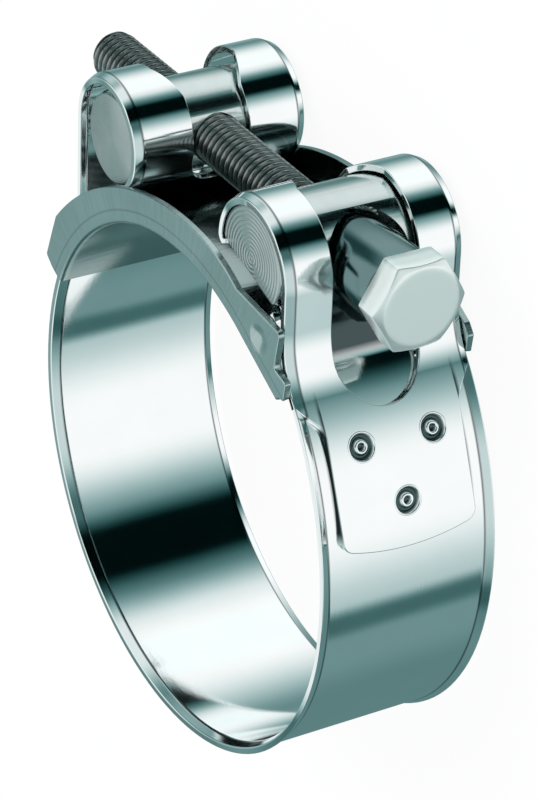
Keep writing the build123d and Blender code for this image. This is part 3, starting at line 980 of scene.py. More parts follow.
def sheet_finish(name, roughness, wave, line, pleats=0.0):
    """Rolled sheet that is slightly uneven, with pleats, and the mask of a faint line beside its
    edge where shade is painted.
    """
    finish = Finish(name, roughness)
    grain = finish.use("Sheet grain", **SHEET_GRAIN)
    place = add_node(finish.tree, "ShaderNodeUVMap", uv_map="Strip").outputs[0]
    marks = finish.use("Strip marks", Vector=place, Crease=line)
    finish.bump(noise(finish.tree, finish.vector, 55.0, 1.0), wave)
    if pleats:
        finish.bump(marks["Pleat height"], pleats)
    finish.bump(grain["Height"], SHEET_GRAIN_DEPTH)
    return finish, grain, marks


def band_finish(settings):
    """Bright steel with shade painted at the crease, beside the tails and behind the front slot."""
    colour, roughness = settings.band_colour, settings.band_roughness
    finish, grain, marks = sheet_finish("band_steel_finish", roughness, BAND_WAVE, CREASE)
    finish.blend_colour(grain["Patches"], shade(colour, 0.985), shade(colour, 1.01))
    finish.blend_roughness(grain["Patches"], roughness * 0.9, roughness * 1.1)
    calc = partial(maths, finish.tree)
    # Painted shade: the crease lines, the tails' sides and the strip behind the front slot are
    # darkened towards deep teal
    mask = calc("MAXIMUM", marks["Line"], shade_beside_tails(finish))
    mask = calc("MAXIMUM", mask, calc("MULTIPLY", shade_behind_slot(finish), SLOT_SHADE_STRENGTH))
    finish.darken(mask, 0.88)
    return finish.material


def bridge_finish(settings):
    """Satin steel with a clouded, pleated flange, shade painted along its bend, and a smoother
    plate darkened as a painted reflection of the dark below the bolt.
    """
    colour, roughness = settings.bridge_colour, settings.bridge_roughness
    finish, _, marks = sheet_finish(
        "bridge_steel_finish", roughness, BRIDGE_WAVE, FLANGE_LINE, PLEAT_DEPTH
    )
    calc = partial(maths, finish.tree)
    cloud = noise(finish.tree, finish.vector, 95.0, 4.0, 0.6)
    both = calc("MULTIPLY", calc("ADD", cloud, marks["Pleat height"]), 0.5)
    finish.blend_colour(both, shade(colour, 0.93), shade(colour, 1.09), 0.36, 0.64)
    # The plate between its flanges is darkened as a painted reflection of the dark below the bolt
    flange = finish.within((finish.off_middle, FLANGE_INNER - 0.15, FLANGE_INNER + 0.15))
    finish.blend_colour(flange, shade(colour, 0.72), None, 0.0, 1.0)
    finish.blend_roughness(flange, roughness * 0.6, roughness, 0.0, 1.0)
    # Painted shade along the flange's bend line
    finish.darken(marks["Line"], 0.3)
    return finish.material


def turned_finish(name, colour, roughness, centre, plane, pitch, depth, side_roughness=None):
    """Turned bar: fine rings on its ends and, where told, a brighter side."""
    finish = Finish(name, roughness)
    rings = finish.use("Turning rings", Centre=centre, Plane=plane, Pitch=pitch)
    grain = finish.use("Sheet grain", **EVEN_GRAIN)
    finish.blend_colour(grain["Patches"], shade(colour, 0.92), shade(colour, 1.05))
    if side_roughness is None:
        finish.blend_roughness(grain["Patches"], roughness * 0.8, roughness * 1.2)
    else:
        face = TRUNNION_HALF_LENGTH - 0.15
        ends = finish.within((finish.off_middle, face - 0.1, face))
        finish.blend_roughness(ends, side_roughness, roughness, 0.0, 1.0)
        finish.darken(ends, 0.25)
    finish.bump(rings["Height"], depth)
    finish.bump(grain["Height"], TURNED_GRAIN_DEPTH)
    return finish.material


def clinch_finish(settings):
    """Bright steel that is dull where the punch went deep, with shade painted dark into the pits.
    """
    finish = Finish("clinch_steel_finish", settings.band_roughness)
    depth = add_node(finish.tree, "ShaderNodeAttribute", attribute_name="pit").outputs["Fac"]
    # Painted shade: the pits are darkened by their depth
    finish.blend_colour(depth, shade(settings.band_colour), shade(PIT_SHADE_COLOUR), 0.25, 0.95)
    finish.blend_roughness(depth, 0.12, 0.35, 0.2, 1.0)
    finish.bump(finish.use("Sheet grain", **EVEN_GRAIN)["Height"], CLINCH_GRAIN_DEPTH)
    return finish.material


def bolt_finish(settings):
    """Bolt steel: a satin head, lighter and less metallic, and a thread darkened with painted
    shade, most in its roots.
    """
    colour, roughness = settings.colour, settings.roughness
    finish = Finish("bolt_steel_finish", roughness)
    centre = (0.0, BOLT_HEIGHT * MM, 0.0)
    radius = finish.use("Turning rings", Centre=centre, Plane=ALONG_BOLT)["Radius"]
    grain = finish.use("Sheet grain", **BOLT_GRAIN)
    head = finish.within((finish.x, UNDER_HEAD_X - 0.4, UNDER_HEAD_X - 0.1))
    root, crest = (r * MM for r in THREAD_SHADE)
    # Painted shade: the thread's colour falls from about half the steel's at its crests to nearly
    # black in its roots
    finish.blend_colour(radius, shade(colour, 0.04), shade(colour, 0.52), root, crest)
    finish.blend_colour(head, None, shade(colour, 1.25), 0.0, 1.0)
    finish.blend_roughness(grain["Patches"], roughness * 0.98, roughness * 1.04)
    finish.feed("Metallic", remap(finish.tree, head, 0.0, 1.0, 1.0, 0.76))
    finish.bump(grain["Height"], BOLT_GRAIN_DEPTH)
    return finish.material


# Settings

def length_setting(name, description, default, **limits):
    return FloatProperty(
        name=name, description=description, default=default, unit="LENGTH", subtype="DISTANCE",
        **limits,
    )


def share_setting(name, description, default):
    return FloatProperty(name=name, description=description, default=default, subtype="FACTOR")


def colour_setting(name, description, default):
    return FloatVectorProperty(
        name=name, description=description, default=default, size=3, subtype="COLOR"
    )


class ClampSheetSettings(bpy.types.PropertyGroup):
    edge_round: length_setting(
        "Edge rounding", "Radius of the rounded edges of the band and the bridge", 0.00014,
        min=0.00002, max=0.0003,
    )
    band_colour: colour_setting(
        "Band colour", "Tint of the band's bright steel", (0.93, 0.96, 0.96)
    )
    band_roughness: share_setting("Band roughness", "Roughness of the band's bright steel", 0.075)
    bridge_colour: colour_setting(
        "Bridge colour", "Tint of the bridge's satin steel", (0.44, 0.55, 0.545)
    )
    bridge_roughness: share_setting(
        "Bridge roughness", "Roughness of the bridge's satin steel", 0.26
    )


class ClampBarSettings(bpy.types.PropertyGroup):
    ring_pitch: length_setting(
        "Turning pitch", "Distance between the turning rings on the front trunnion's end", 0.0005
    )
    colour: colour_setting("Trunnion colour", "Tint of the turned trunnions", (0.66, 0.73, 0.72))
    roughness: share_setting("Trunnion roughness", "Roughness of the turned trunnions' ends", 0.34)


class ClampBoltSettings(bpy.types.PropertyGroup):
    pitch: length_setting("Thread pitch", "Advance of the bolt in one turn", 0.001)
    steps: IntProperty(
        name="Steps in a turn", description="Points round the thread", default=48, min=16, max=96
    )
    colour: colour_setting("Bolt colour", "Tint of the bolt", (0.68, 0.73, 0.715))
    roughness: share_setting("Bolt roughness", "Roughness of the bolt", 0.28)


class ClampStageSettings(bpy.types.PropertyGroup):
    key_power: FloatProperty(
        name="Key light", description="Power of the large soft light", default=6.0, unit="POWER"
    )
    floor_colour: colour_setting("Floor colour", "Colour of the plain floor", (0.96, 0.97, 0.965))


class ClampSettings(bpy.types.PropertyGroup):
    sheet: PointerProperty(type=ClampSheetSettings)
    bars: PointerProperty(type=ClampBarSettings)
    bolt: PointerProperty(type=ClampBoltSettings)
    stage: PointerProperty(type=ClampStageSettings)


# Pieces

class CLAMP_OT_band(bpy.types.Operator):
    """Build the band from its flat strip: ring, loops, slots and rounded tails"""

    bl_idname = "clamp.band"
    bl_label = "Band"

    def execute(self, context):
        settings = context.scene.clamp.sheet
        route, marks = band_route()
        crease = [CREASE + CREASE_BLEND * k for k in (-1.0, -0.5, 0.0, 0.5, 1.0)]
        rows = [*BAND_ROWS, *crease, LIP_ROW]
        widths = rows + [-r for r in rows[1:]]
        grid = [Vector((s, w)) for s in route.samples(BAND_STEP, BAND_TURN) for w in widths]
        loops, edge = band_loops(route, marks), settings.edge_round / MM
        mesh = sheet_mesh("band_strip", loops, grid, band_surface(route), edge)
        new_piece("band_strip", mesh, "clamp", band_finish(settings), "band", slot="band_steel")
        return {"FINISHED"}


# A pressed point's section: distance from its axis and height over the sheet
CLINCH_PROFILE = (
    (0.0, -0.52), (0.26, -0.5), (0.38, -0.4), (0.44, -0.16), (0.54, -0.09), (0.68, -0.09),
    (0.79, -0.16), (0.87, -0.42), (1.0, -0.53), (1.24, -0.53), (1.38, -0.42), (1.46, -0.14),
    (1.53, -0.02), (1.62, 0.02), (1.72, 0.015), (1.8, -0.05), (1.8, -0.3), (1.66, -0.62),
    (0.0, -0.62),
)
# Depth at which a pressed point's painted shade is darkest, and the radius of the tail it is bent
# along
PIT_DEPTH = 0.5
CLINCH_BEND = 35.0


def clinch_button():
    """Pressed point as a closed round body, its sheet's surface at height zero."""
    rings, pit_shades = [], []
    for radius, height in CLINCH_PROFILE:
        spots = [(radius * cos(a), radius * sin(a)) for a in (circle(32) if radius else [0.0])]
        rings.append([(x, y, height - y * y / (2 * CLINCH_BEND)) for x, y in spots])
        # Share of each ring's depth, which sets how dark the painted shade in its pit is
        pit_shades += [max(0.0, min(1.0, -height / PIT_DEPTH))] * len(spots)
    mesh = skinned("clinch_button", rings, turned=True)
    mesh.attributes.new("pit", "FLOAT", "POINT").data.foreach_set("value", pit_shades)
    return mesh


def clinch_tree():
    """Tree that sets one pressed point at each point, facing along the point's own vector."""
    tree, taken, given = node_tree(
        "Clinched points",
        [("Button", "Object", None), ("Material", "Material", None), ("Size", "Float", 1.0)],
    )
    info = add_node(tree, "GeometryNodeObjectInfo", {"Object": taken["Button"]})
    facing = add_node(
        tree, "GeometryNodeInputNamedAttribute", {"Name": "facing"}, data_type="FLOAT_VECTOR"
    )
    align = "FunctionNodeAlignRotationToVector"
    first = add_node(tree, align, {"Vector": (0.0, 0.0, 1.0)}, axis="X")
    inputs = {"Rotation": first.outputs[0], "Vector": facing.outputs["Attribute"]}
    turn = add_node(tree, align, inputs, axis="Z", pivot_axis="X")
    inputs = {
        "Points": taken["Geometry"],
        "Instance": info.outputs["Geometry"],
        "Rotation": turn.outputs[0],
        "Scale": taken["Size"],
    }
    place = add_node(tree, "GeometryNodeInstanceOnPoints", inputs)
    return realized(tree, place.outputs[0], taken["Material"], given)


class CLAMP_OT_clinches(bpy.types.Operator):
    """Press the six clinched points that hold the tails on the ring"""

    bl_idname = "clamp.clinches"
    bl_label = "Clinched points"

    def execute(self, context):
        steel = clinch_finish(context.scene.clamp.sheet)
        button = linked("clinch_button", clinch_button())
        spots, facings = [], []
        tails = ((1, FRONT_CENTRE, FRONT_TAIL_RADIUS), (-1, RING_CENTRE, REAR_TAIL_RADIUS))
        for side, centre, radius in tails:
            for bearing, height in CLINCHES:
                foot = at(radius + SHEET / 2, side * bearing, centre)
                spots.append((foot.x * MM, foot.y * MM, height * MM))
                facings += (*heading(side * bearing), 0.0)
        points = bpy.data.meshes.new("clinch_spots")
        points.from_pydata(spots, [], [])
        points.attributes.new("facing", "FLOAT_VECTOR", "POINT").data.foreach_set("vector", facings)
        host = linked("clinch_spots", points)
        values = {"Button": button, "Material": steel, "Size": 1.0}
        mesh = run_tree(clinch_tree(), host, values, 100)
        discard(host, button)
        facing = mesh.attributes.get("facing")
        if facing:
            mesh.attributes.remove(facing)
        smooth(mesh, CLINCH_SHARP)
        new_piece("clinch_points", mesh, "clamp", steel, slot="band_steel")
        return {"FINISHED"}


def bridge_route():
    """The plate's hose side from its rear end to its straight front end."""
    route = Route()
    route.arc(RING_CENTRE, PLATE_RADIUS, PLATE_START, PLATE_STRAIGHT_BEARING)
    start = at(PLATE_RADIUS, PLATE_STRAIGHT_BEARING)
    route.line(start, start + heading(PLATE_STRAIGHT_BEARING + 90) * 12.0)
    return route


def on_route(route, point):
    """Distance along the bridge's route and height above it of a point seen along the hose."""
    start, direction = route.parts[1][1:]
    along = (point - start).dot(direction)
    if along > 0:
        return route.starts[1] + along, (point - start).dot(left_of(direction))
    return radians(bearing_of(point) - PLATE_START) * PLATE_RADIUS, point.length - PLATE_RADIUS


def flange_side(crest):
    """One flange's outline from its rear foot over its top to its front foot."""
    rear = [at(*p) for p in (*FLANGE_REAR, FLANGE_HEEL)]
    flange = [at(*p) for p in (FLANGE_HEEL, FLANGE_DIP, FLANGE_CROWN)]
    ear = [at(*p) for p in (FLANGE_CROWN, EAR_DIP, EAR_START)]
    front = [at(*p) for p in (EAR_START, *crest, *EAR_FRONT)]
    points = rounded(rear, [0.3, 0.5])[:-1]
    points += three_point_arc(*flange, 44) + three_point_arc(*ear, 12)[1:-1]
    return points + rounded(front, [0.6] * len(crest) + [0.3, 0.3, 0.15])


def bridge_loop(route):
    """The bridge's flat outline: the plate's ends and both flanges."""
    rear_s = on_route(route, at(PLATE_RADIUS, PLATE_REAR_BEARING))[0]
    # The plate's front end is cut along a bearing, which crosses the straight run here
    start, direction = route.parts[1][1:]
    across = heading(PLATE_FRONT_BEARING + 90)
    front_point = start - direction * (start.dot(across) / direction.dot(across))
    front_s = on_route(route, front_point)[0]
    halves = []
    for crest in (FAR_CREST, NEAR_CREST):
        side = [Vector((rear_s, PLATE_EDGE * k / 9)) for k in range(9)]
        side += [Vector((rear_s, PLATE_EDGE + CORNER_SPAN * k / 4)) for k in range(5)]
        for p in flange_side(crest):
            s, height = on_route(route, p)
            if height > CORNER_RADIUS + 0.05:
                side.append(Vector((s, PLATE_EDGE + CORNER_SPAN + height - CORNER_RADIUS)))
        side += [Vector((front_s, PLATE_EDGE + CORNER_SPAN * (4 - k) / 4)) for k in range(5)]
        side += [Vector((front_s, PLATE_EDGE * k / 9)) for k in range(8, -1, -1)]
        halves.append(side)
    return [Vector((p.x, -p.y)) for p in halves[0]] + halves[1][::-1][1:-1]


def bridge_surface(route):
    dish = at(*EAR_DISH)
    inner_edge = FLANGE_INNER - INNER_CORNER_RADIUS
    inner_start = SHEET + INNER_CORNER_RADIUS

    def surface(s, u, share):
        point, out = route.place(min(max(s, 0.0), route.length))
        side = 1 if u >= 0 else -1
        u = abs(u)
        # Height over the route and distance from the middle, on the hose side and on the far side
        if u <= PLATE_EDGE:
            skin = (0.0, u)
            back = (SHEET, u * inner_edge / PLATE_EDGE)
            normal = Vector((out.x, out.y, 0.0))
        elif u <= PLATE_EDGE + CORNER_SPAN:
            a = (u - PLATE_EDGE) / CORNER_SPAN * pi / 2
            bend, rise = 1 - cos(a), sin(a)
            skin = (CORNER_RADIUS * bend, PLATE_EDGE + CORNER_RADIUS * rise)
            back = (SHEET + INNER_CORNER_RADIUS * bend, inner_edge + INNER_CORNER_RADIUS * rise)
            normal = Vector((out.x * cos(a), out.y * cos(a), -side * rise))
        else:
            height = CORNER_RADIUS + u - PLATE_EDGE - CORNER_SPAN
            skin = (height, FLANGE_OUTER)
            back = (height, FLANGE_INNER)
            if height < FLANGE_BLEND:
                share_up = (height - CORNER_RADIUS) / (FLANGE_BLEND - CORNER_RADIUS)
                back = (inner_start + (FLANGE_BLEND - inner_start) * share_up, FLANGE_INNER)
            normal = Vector((0.0, 0.0, -float(side)))
        mix = (share + 1) / 2
        z = skin[1] * (1 - mix) + back[1] * mix
        spot = point + out * (skin[0] * (1 - mix) + back[0] * mix)
        if side > 0 and u > PLATE_EDGE + CORNER_SPAN:
            away = spot - dish
            reach = away.length / DISH_RADIUS
            if reach < 1.0:
                z -= EAR_DEPTH * (1 - reach * reach) ** 2 * (1 - mix)
                fall = EAR_DEPTH * 4 * reach * (1 - reach * reach) / DISH_RADIUS
                tilt = away.normalized() * (fall * (1 - mix))
                normal = Vector((tilt.x, tilt.y, -1.0)).normalized()
        return Vector((spot.x, spot.y, side * z)), normal

    return surface


class CLAMP_OT_bridge(bpy.types.Operator):
    """Build the bridge: a curved plate with a waved flange on each side"""

    bl_idname = "clamp.bridge"
    bl_label = "Bridge"

    def execute(self, context):
        settings = context.scene.clamp.sheet
        route = bridge_route()
        flange = PLATE_EDGE + CORNER_SPAN
        rows = [0.0, 2.5, 5.0, 7.5, 9.5, 10.6, PLATE_EDGE]
        rows += [PLATE_EDGE + CORNER_SPAN * k / 4 for k in range(1, 5)]
        rows += [flange + FLANGE_STEP * k for k in range(1, 13)]
        widths = rows + [-r for r in rows[1:]]
        dish_s, dish_height = on_route(route, at(*EAR_DISH))
        middle = Vector((dish_s, flange + dish_height - CORNER_RADIUS))
        grid = [Vector((s, w)) for s in route.samples(PLATE_STEP, PLATE_TURN) for w in widths]
        grid = [p for p in grid if (p - middle).length > DISH_CLEARANCE]
        # The dish has its own closer points, in rings
        for ring in range(DISH_RINGS):
            radius, start = DISH_START + DISH_STEP * ring, pi / DISH_STEPS * (ring % 2)
            grid += arc_points(middle, radius, start, 2 * pi, DISH_STEPS)[:-1]
        loops, edge = [bridge_loop(route)], settings.edge_round / MM
        mesh = sheet_mesh("bridge_plate", loops, grid, bridge_surface(route), edge)
        steel = bridge_finish(settings)
        new_piece("bridge_plate", mesh, "clamp", steel, "bridge", slot="bridge_steel")
        return {"FINISHED"}


def bar_mesh(name, outline):
    """Bar along the hose's axis with slightly coned ends, closed by flat faces."""
    sections = [(z - TRUNNION_HALF_LENGTH, inset) for z, inset in BAR_END]
    sections += [(-z, inset) for z, inset in reversed(sections)]
    sides = outward_sides(outline)
    rings = [
        [(p.x - side.x * inset, p.y - side.y * inset, z) for p, side in zip(outline, sides)]
        for z, inset in sections
    ]
    return skinned(name, rings)


def bored(name, bar, cutters):
    """Bar with round holes cut along the bolt's line."""
    host = linked(name, bar)
    tools = []
    for start, end, radius in cutters:
        rings = [[round_bolt(x, radius, a) for a in circle(64, 0.5)] for x in (start, end)]
        tools.append(linked(name + "_bore", skinned(name + "_bore", rings, turned=True)))
        cut = host.modifiers.new("bore", "BOOLEAN")
        cut.operation = "DIFFERENCE"
        cut.solver = "EXACT"
        cut.object = tools[-1]
    soften = host.modifiers.new("edges", "BEVEL")
    soften.limit_method = "ANGLE"
    soften.angle_limit = radians(BEVEL_ANGLE)
    soften.width = HOLE_BEVEL
    soften.segments = 2
    soften.use_clamp_overlap = True
    mesh = plain_mesh(host, name)
    discard(host, *tools)
    smooth(mesh, BAR_SHARP)
    return mesh


def front_outline():
    """Front trunnion's section: a circle with a flat whose corners are rounded."""
    # A rounding circle touches the flat and the bar's circle from inside
    rise = FLAT_DEPTH - FLAT_CORNER_RADIUS
    offset = sqrt((FRONT_TRUNNION_RADIUS - FLAT_CORNER_RADIUS) ** 2 - rise**2)
    start = atan2(FLAT_NORMAL.y, FLAT_NORMAL.x)
    corners, ends = [], []
    for sign in (1, -1):
        middle = FRONT_AXIS + FLAT_NORMAL * rise - SEAT_DIRECTION * (sign * offset)
        ends.append(angle_of(middle, FRONT_AXIS))
        turn = short_turn(start, ends[-1])
        corners.append(arc_points(middle, FLAT_CORNER_RADIUS, start, turn, 10))
    turn = short_turn(*ends)
    turn -= 2 * pi if turn > 0 else -2 * pi
    back = arc_points(FRONT_AXIS, FRONT_TRUNNION_RADIUS, ends[0], turn, 84)[1:-1]
    outline = corners[0] + back + corners[1][::-1]
    return outline if signed_area(outline) > 0 else outline[::-1]


def trunnion(settings, node, axis, outline, cutters, pitch, depth):
    """One trunnion: a turned bar with the bolt's holes."""
    steel = turned_finish(
        node + "_finish", settings.colour, settings.roughness, (axis.x * MM, axis.y * MM, 0.0),
        ALONG_HOSE, pitch, depth, TRUNNION_SIDE_ROUGHNESS,
    )
    mesh = bored(node + "_bar", bar_mesh(node + "_blank", outline), cutters)
    new_piece(node + "_bar", mesh, "clamp", steel, node, slot="trunnion_steel")


class CLAMP_OT_trunnions(bpy.types.Operator):
    """Build the two trunnions: a D-shaped bar under the head and a threaded round bar"""

    bl_idname = "clamp.trunnions"
    bl_label = "Trunnions"

    def execute(self, context):
        settings = context.scene.clamp.bars
        x = FRONT_TRUNNION_X
        cutters = [
            (x - BORE_REACH, x + BORE_REACH, CLEARANCE_RADIUS),
            (x, x + BORE_REACH, COUNTERBORE_RADIUS),
        ]
        pitch = settings.ring_pitch
        outline = front_outline()
        trunnion(
            settings, "front_trunnion", FRONT_AXIS, outline, cutters, pitch, FRONT_RING_DEPTH
        )
        x = REAR_TRUNNION_X
        outline = arc_points(REAR_AXIS, REAR_TRUNNION_RADIUS, 0.0, 2 * pi, 96)[:-1]
        cutters = [(x - BORE_REACH, x + BORE_REACH, THREAD_RADIUS + FIT_GAP)]
        trunnion(
            settings, "rear_trunnion", REAR_AXIS, outline, cutters, pitch / 2, REAR_RING_DEPTH
        )
        return {"FINISHED"}


def thread_tree():
    """Tree that turns a flat grid into a screw thread round the X axis."""
    tree, taken, given = node_tree(
        "Screw thread",
        [
            ("Length", "Float", 0.05),
            ("Radius", "Float", 0.003),
            ("Depth", "Float", THREAD_DEPTH),
            ("Pitch", "Float", 0.001),
            ("Rows", "Int", 500),
            ("Steps", "Int", 48),
            ("Chamfer", "Float", THREAD_CHAMFER),
            ("Material", "Material", None),
        ],
    )
    calc = partial(maths, tree)
    inputs = {
        "Size X": 1.0, "Size Y": 1.0, "Vertices X": taken["Rows"], "Vertices Y": taken["Steps"]
    }
    grid = add_node(tree, "GeometryNodeMeshGrid", inputs)
    position = add_node(tree, "GeometryNodeInputPosition").outputs[0]
    parts = add_node(tree, "ShaderNodeSeparateXYZ", (position,)).outputs
    around = calc("ADD", parts["Y"], 0.5)
    x = calc("MULTIPLY", calc("ADD", parts["X"], 0.5), taken["Length"])
    phase = calc("FRACT", calc("ADD", calc("DIVIDE", x, taken["Pitch"]), around))
    # Distance from the crest's middle, as a share of the pitch, with a flat crest and root
    off = calc("ABSOLUTE", calc("SUBTRACT", phase, 0.5))
    cut = calc("MULTIPLY", remap(tree, off, 0.07, 0.4), taken["Depth"])
    nose = calc("SUBTRACT", taken["Radius"], taken["Chamfer"])
    radius = calc("MINIMUM", calc("SUBTRACT", taken["Radius"], cut), calc("ADD", x, nose))
    angle = calc("MULTIPLY", around, 2 * pi)
    y = calc("MULTIPLY", radius, calc("COSINE", angle))
    z = calc("MULTIPLY", radius, calc("SINE", angle))
    joined = add_node(tree, "ShaderNodeCombineXYZ", (x, y, z)).outputs[0]
    inputs = {"Geometry": grid.outputs["Mesh"], "Position": joined}
    move = add_node(tree, "GeometryNodeSetPosition", inputs)
    inputs = {"Geometry": move.outputs[0], "Distance": 0.000001}
    weld = add_node(tree, "GeometryNodeMergeByDistance", inputs)
    return realized(tree, weld.outputs[0], taken["Material"], given)


def hexagon_radius(angle):
    """Distance from the axis to the head's hexagon, whose corners are slightly rounded."""
    part = (angle + pi / 6) % (pi / 3) - pi / 6
    limit = HEAD_FLAT_RADIUS / cos(pi / 6) - HEAD_CORNER_ROUND * (1 / cos(pi / 6) - 1)
    return min(HEAD_FLAT_RADIUS / cos(part), limit)


def head_mesh():
    """Hexagon head with a chamfered face and a washer face."""
    face_x = UNDER_HEAD_X + HEAD_HEIGHT
    base_x = UNDER_HEAD_X + WASHER_HEIGHT
    slope = tan(radians(HEAD_CHAMFER))
    angles = circle(144)

    def cone_x(radius):
        return face_x - max(0.0, radius - HEAD_FACE_RADIUS) * slope

    def flat_ring(x, radius):
        return [round_bolt(x, radius, a) for a in angles]

    def hexagon_ring(place):
        """Ring whose place along the bolt and radius follow from the hexagon's radius."""
        return [round_bolt(*place(hexagon_radius(a)), a) for a in angles]

    def chamfer(share):
        def place(r):
            radius = HEAD_FACE_RADIUS + (r - HEAD_FACE_RADIUS) * share
            return cone_x(radius), radius

        return place

    def side(share):
        return lambda r: ((cone_x(r) - 0.1) * (1 - share) + (base_x + 0.1) * share, r)

    edge = 0.05
    rim = HEAD_FACE_RADIUS + 0.06
    rings = [[round_bolt(face_x, 0.0, 0.0)]]
    rings += [flat_ring(face_x, radius) for radius in (1.5, 3.0, 4.0, 4.3)]
    rings += [flat_ring(face_x - 0.015, HEAD_FACE_RADIUS - edge), flat_ring(cone_x(rim), rim)]
    rings += [hexagon_ring(chamfer(share)) for share in (0.4, 0.7, 0.9)]
    rings.append(hexagon_ring(lambda r: (cone_x(r) - 0.01, r - 0.02)))
    rings += [hexagon_ring(side(share)) for share in (0.0, 0.33, 0.66, 1.0)]
    rings += [
        hexagon_ring(lambda r: (base_x + 0.03, r - 0.03)),
        hexagon_ring(lambda r: (base_x, r - 0.1)),
        flat_ring(base_x, WASHER_RADIUS + edge),
        flat_ring(base_x - edge, WASHER_RADIUS),
        flat_ring(UNDER_HEAD_X + edge, WASHER_RADIUS),
        flat_ring(UNDER_HEAD_X, WASHER_RADIUS - edge),
        flat_ring(UNDER_HEAD_X, 2.5),
    ]
    return skinned("head", rings)


class CLAMP_OT_bolt(bpy.types.Operator):
    """Build the hexagon bolt with its real screw thread"""

    bl_idname = "clamp.bolt"
    bl_label = "Bolt"

    def execute(self, context):
        settings = context.scene.clamp.bolt
        steel = bolt_finish(settings)
        host = linked("thread_host", bpy.data.meshes.new("thread_host"))
        end_x = UNDER_HEAD_X - BOLT_LENGTH
        length = (BOLT_LENGTH - 0.05) * MM
        values = {
            "Length": length,
            "Radius": THREAD_RADIUS * MM - 0.00001,
            "Depth": THREAD_DEPTH,
            "Pitch": settings.pitch,
            "Rows": round(length / settings.pitch * ROWS_IN_A_PITCH) + 1,
            "Steps": settings.steps + 1,
            "Chamfer": THREAD_CHAMFER,
            "Material": steel,
        }
        thread = run_tree(thread_tree(), host, values, 5000)
        discard(host)
        work = bmesh.new()
        work.from_mesh(thread)
        rims = [e for e in work.edges if e.is_boundary]
        bmesh.ops.holes_fill(work, edges=rims, sides=0)
        bmesh.ops.translate(work, verts=work.verts, vec=(end_x * MM, BOLT_HEIGHT * MM, 0.0))
        work.from_mesh(head_mesh())
        mesh = finished("hexagon_bolt", work)
        smooth(mesh, TURNED_SHARP)
        new_piece("hexagon_bolt", mesh, "bolt", steel, "hex_bolt", slot="bolt_steel")
        return {"FINISHED"}


class CLAMP_OT_spacer(bpy.types.Operator):
    """Build the spacer tube under the bolt's head"""

    bl_idname = "clamp.spacer"
    bl_label = "Spacer"

    def execute(self, context):
        edge = 0.25
        start, end = FRONT_TRUNNION_X, UNDER_HEAD_X
        inner, outer = CLEARANCE_RADIUS, SPACER_RADIUS
        profile = [
            (start, outer - edge), (start + 0.08, outer - 0.08), (start + edge, outer),
            (end - edge, outer), (end - 0.08, outer - 0.07), (end, outer - edge),
            (end, inner + edge), (end - edge, inner), (start + edge, inner), (start, inner + edge),
        ]
        rings = [[round_bolt(x, radius, a) for a in circle(96)] for x, radius in profile]
        mesh = skinned("spacer_tube", rings, turned=True, closed=True)
        smooth(mesh, TURNED_SHARP)
        centre = (0.0, BOLT_HEIGHT * MM, 0.0)
        steel = turned_finish(
            "spacer_finish", SPACER_COLOUR, SPACER_ROUGHNESS, centre, ALONG_BOLT,
            SPACER_RING_PITCH, SPACER_RING_DEPTH,
        )
        new_piece("spacer_tube", mesh, "sleeve", steel, "spacer", slot="spacer_steel")
        return {"FINISHED"}


# Stage

# Soft boxes round the hose's axis that the metal mirrors: where each begins and is full, where it
# fades and ends, in degrees from +X, and its brightness. The low ones stand below the middle
LOW_BOXES = (
    (-86.0, -62.0, -54.0, -47.0, 0.06),
    (-44.0, -37.0, 17.0, 46.0, 0.36),
    (-40.0, -8.0, 13.0, 43.0, 0.42),
    (76.0, 92.0, 130.0, 178.0, 0.42),
    (76.0, 106.0, 118.0, 165.0, 0.42),
    (168.0, 190.0, 212.0, 224.0, 0.16),
)
HIGH_BOXES = (
    (-50.0, -14.0, 8.0, 34.0, 0.55),
    (74.0, 92.0, 108.0, 130.0, 0.7),
    (170.0, 196.0, 222.0, 250.0, 0.3),
)
# Sine of the height where the low boxes give way to the high ones
MIDDLE = (-0.05, 0.3)
# The box overhead: sine of the height where it begins and is full, and its brightness
TOP_BOX = (0.5, 0.66, 0.9)
WALL_LOW = 0.22
WALL_HIGH = 0.14
# The black screen between the two large boxes, and a weak screen at the foot of the front box,
# each with the share of light that it takes
SCREEN = (38.0, 49.0, 67.0, 80.0, 0.985)
FOOT_SCREEN = (-54.0, -48.0, -44.0, -38.0, 0.4)
# Red falls faster than green and blue towards the dark, which gives the teal shadows
RED_POWER = 1.45
FLOOR_HALF_SIZE = 1.6
# Share of the floor's own white that the camera and mirrors see
FLOOR_GLOW = 0.92
GLOW_COLOUR = (0.995, 1.0, 0.995, 1.0)
SOFT_COLOUR = (0.97, 1.0, 1.0, 1.0)
SOFT_STRENGTH = 0.9
KEY_SPOT = (-0.45, 0.75, 0.75)
KEY_SIZE = 0.9
# Camera fitted to the photo: its place, and its right and back directions
CAMERA_SPOT = (0.32395, 0.23117, 0.195)
CAMERA_RIGHT = (0.50076, 0.03212, -0.86499)
CAMERA_BACK = (0.73679, 0.50866, 0.44543)
CAMERA_LENS = 173.02
CAMERA_SENSOR = 36.0


def light_box(tree, angle, start, full, fade, end, level):
    """Brightness of one soft box, or share of one screen, round the hose's axis."""
    into = remap(tree, angle, start, full, kind="SMOOTHSTEP")
    out = remap(tree, angle, fade, end, kind="SMOOTHSTEP")
    shape = maths(tree, "MULTIPLY", into, maths(tree, "SUBTRACT", 1.0, out))
    return maths(tree, "MULTIPLY", shape, level)


def light_boxes(tree, angle, rows, wall):
    total = wall
    for row in rows:
        total = maths(tree, "ADD", light_box(tree, angle, *row), total)
    return total


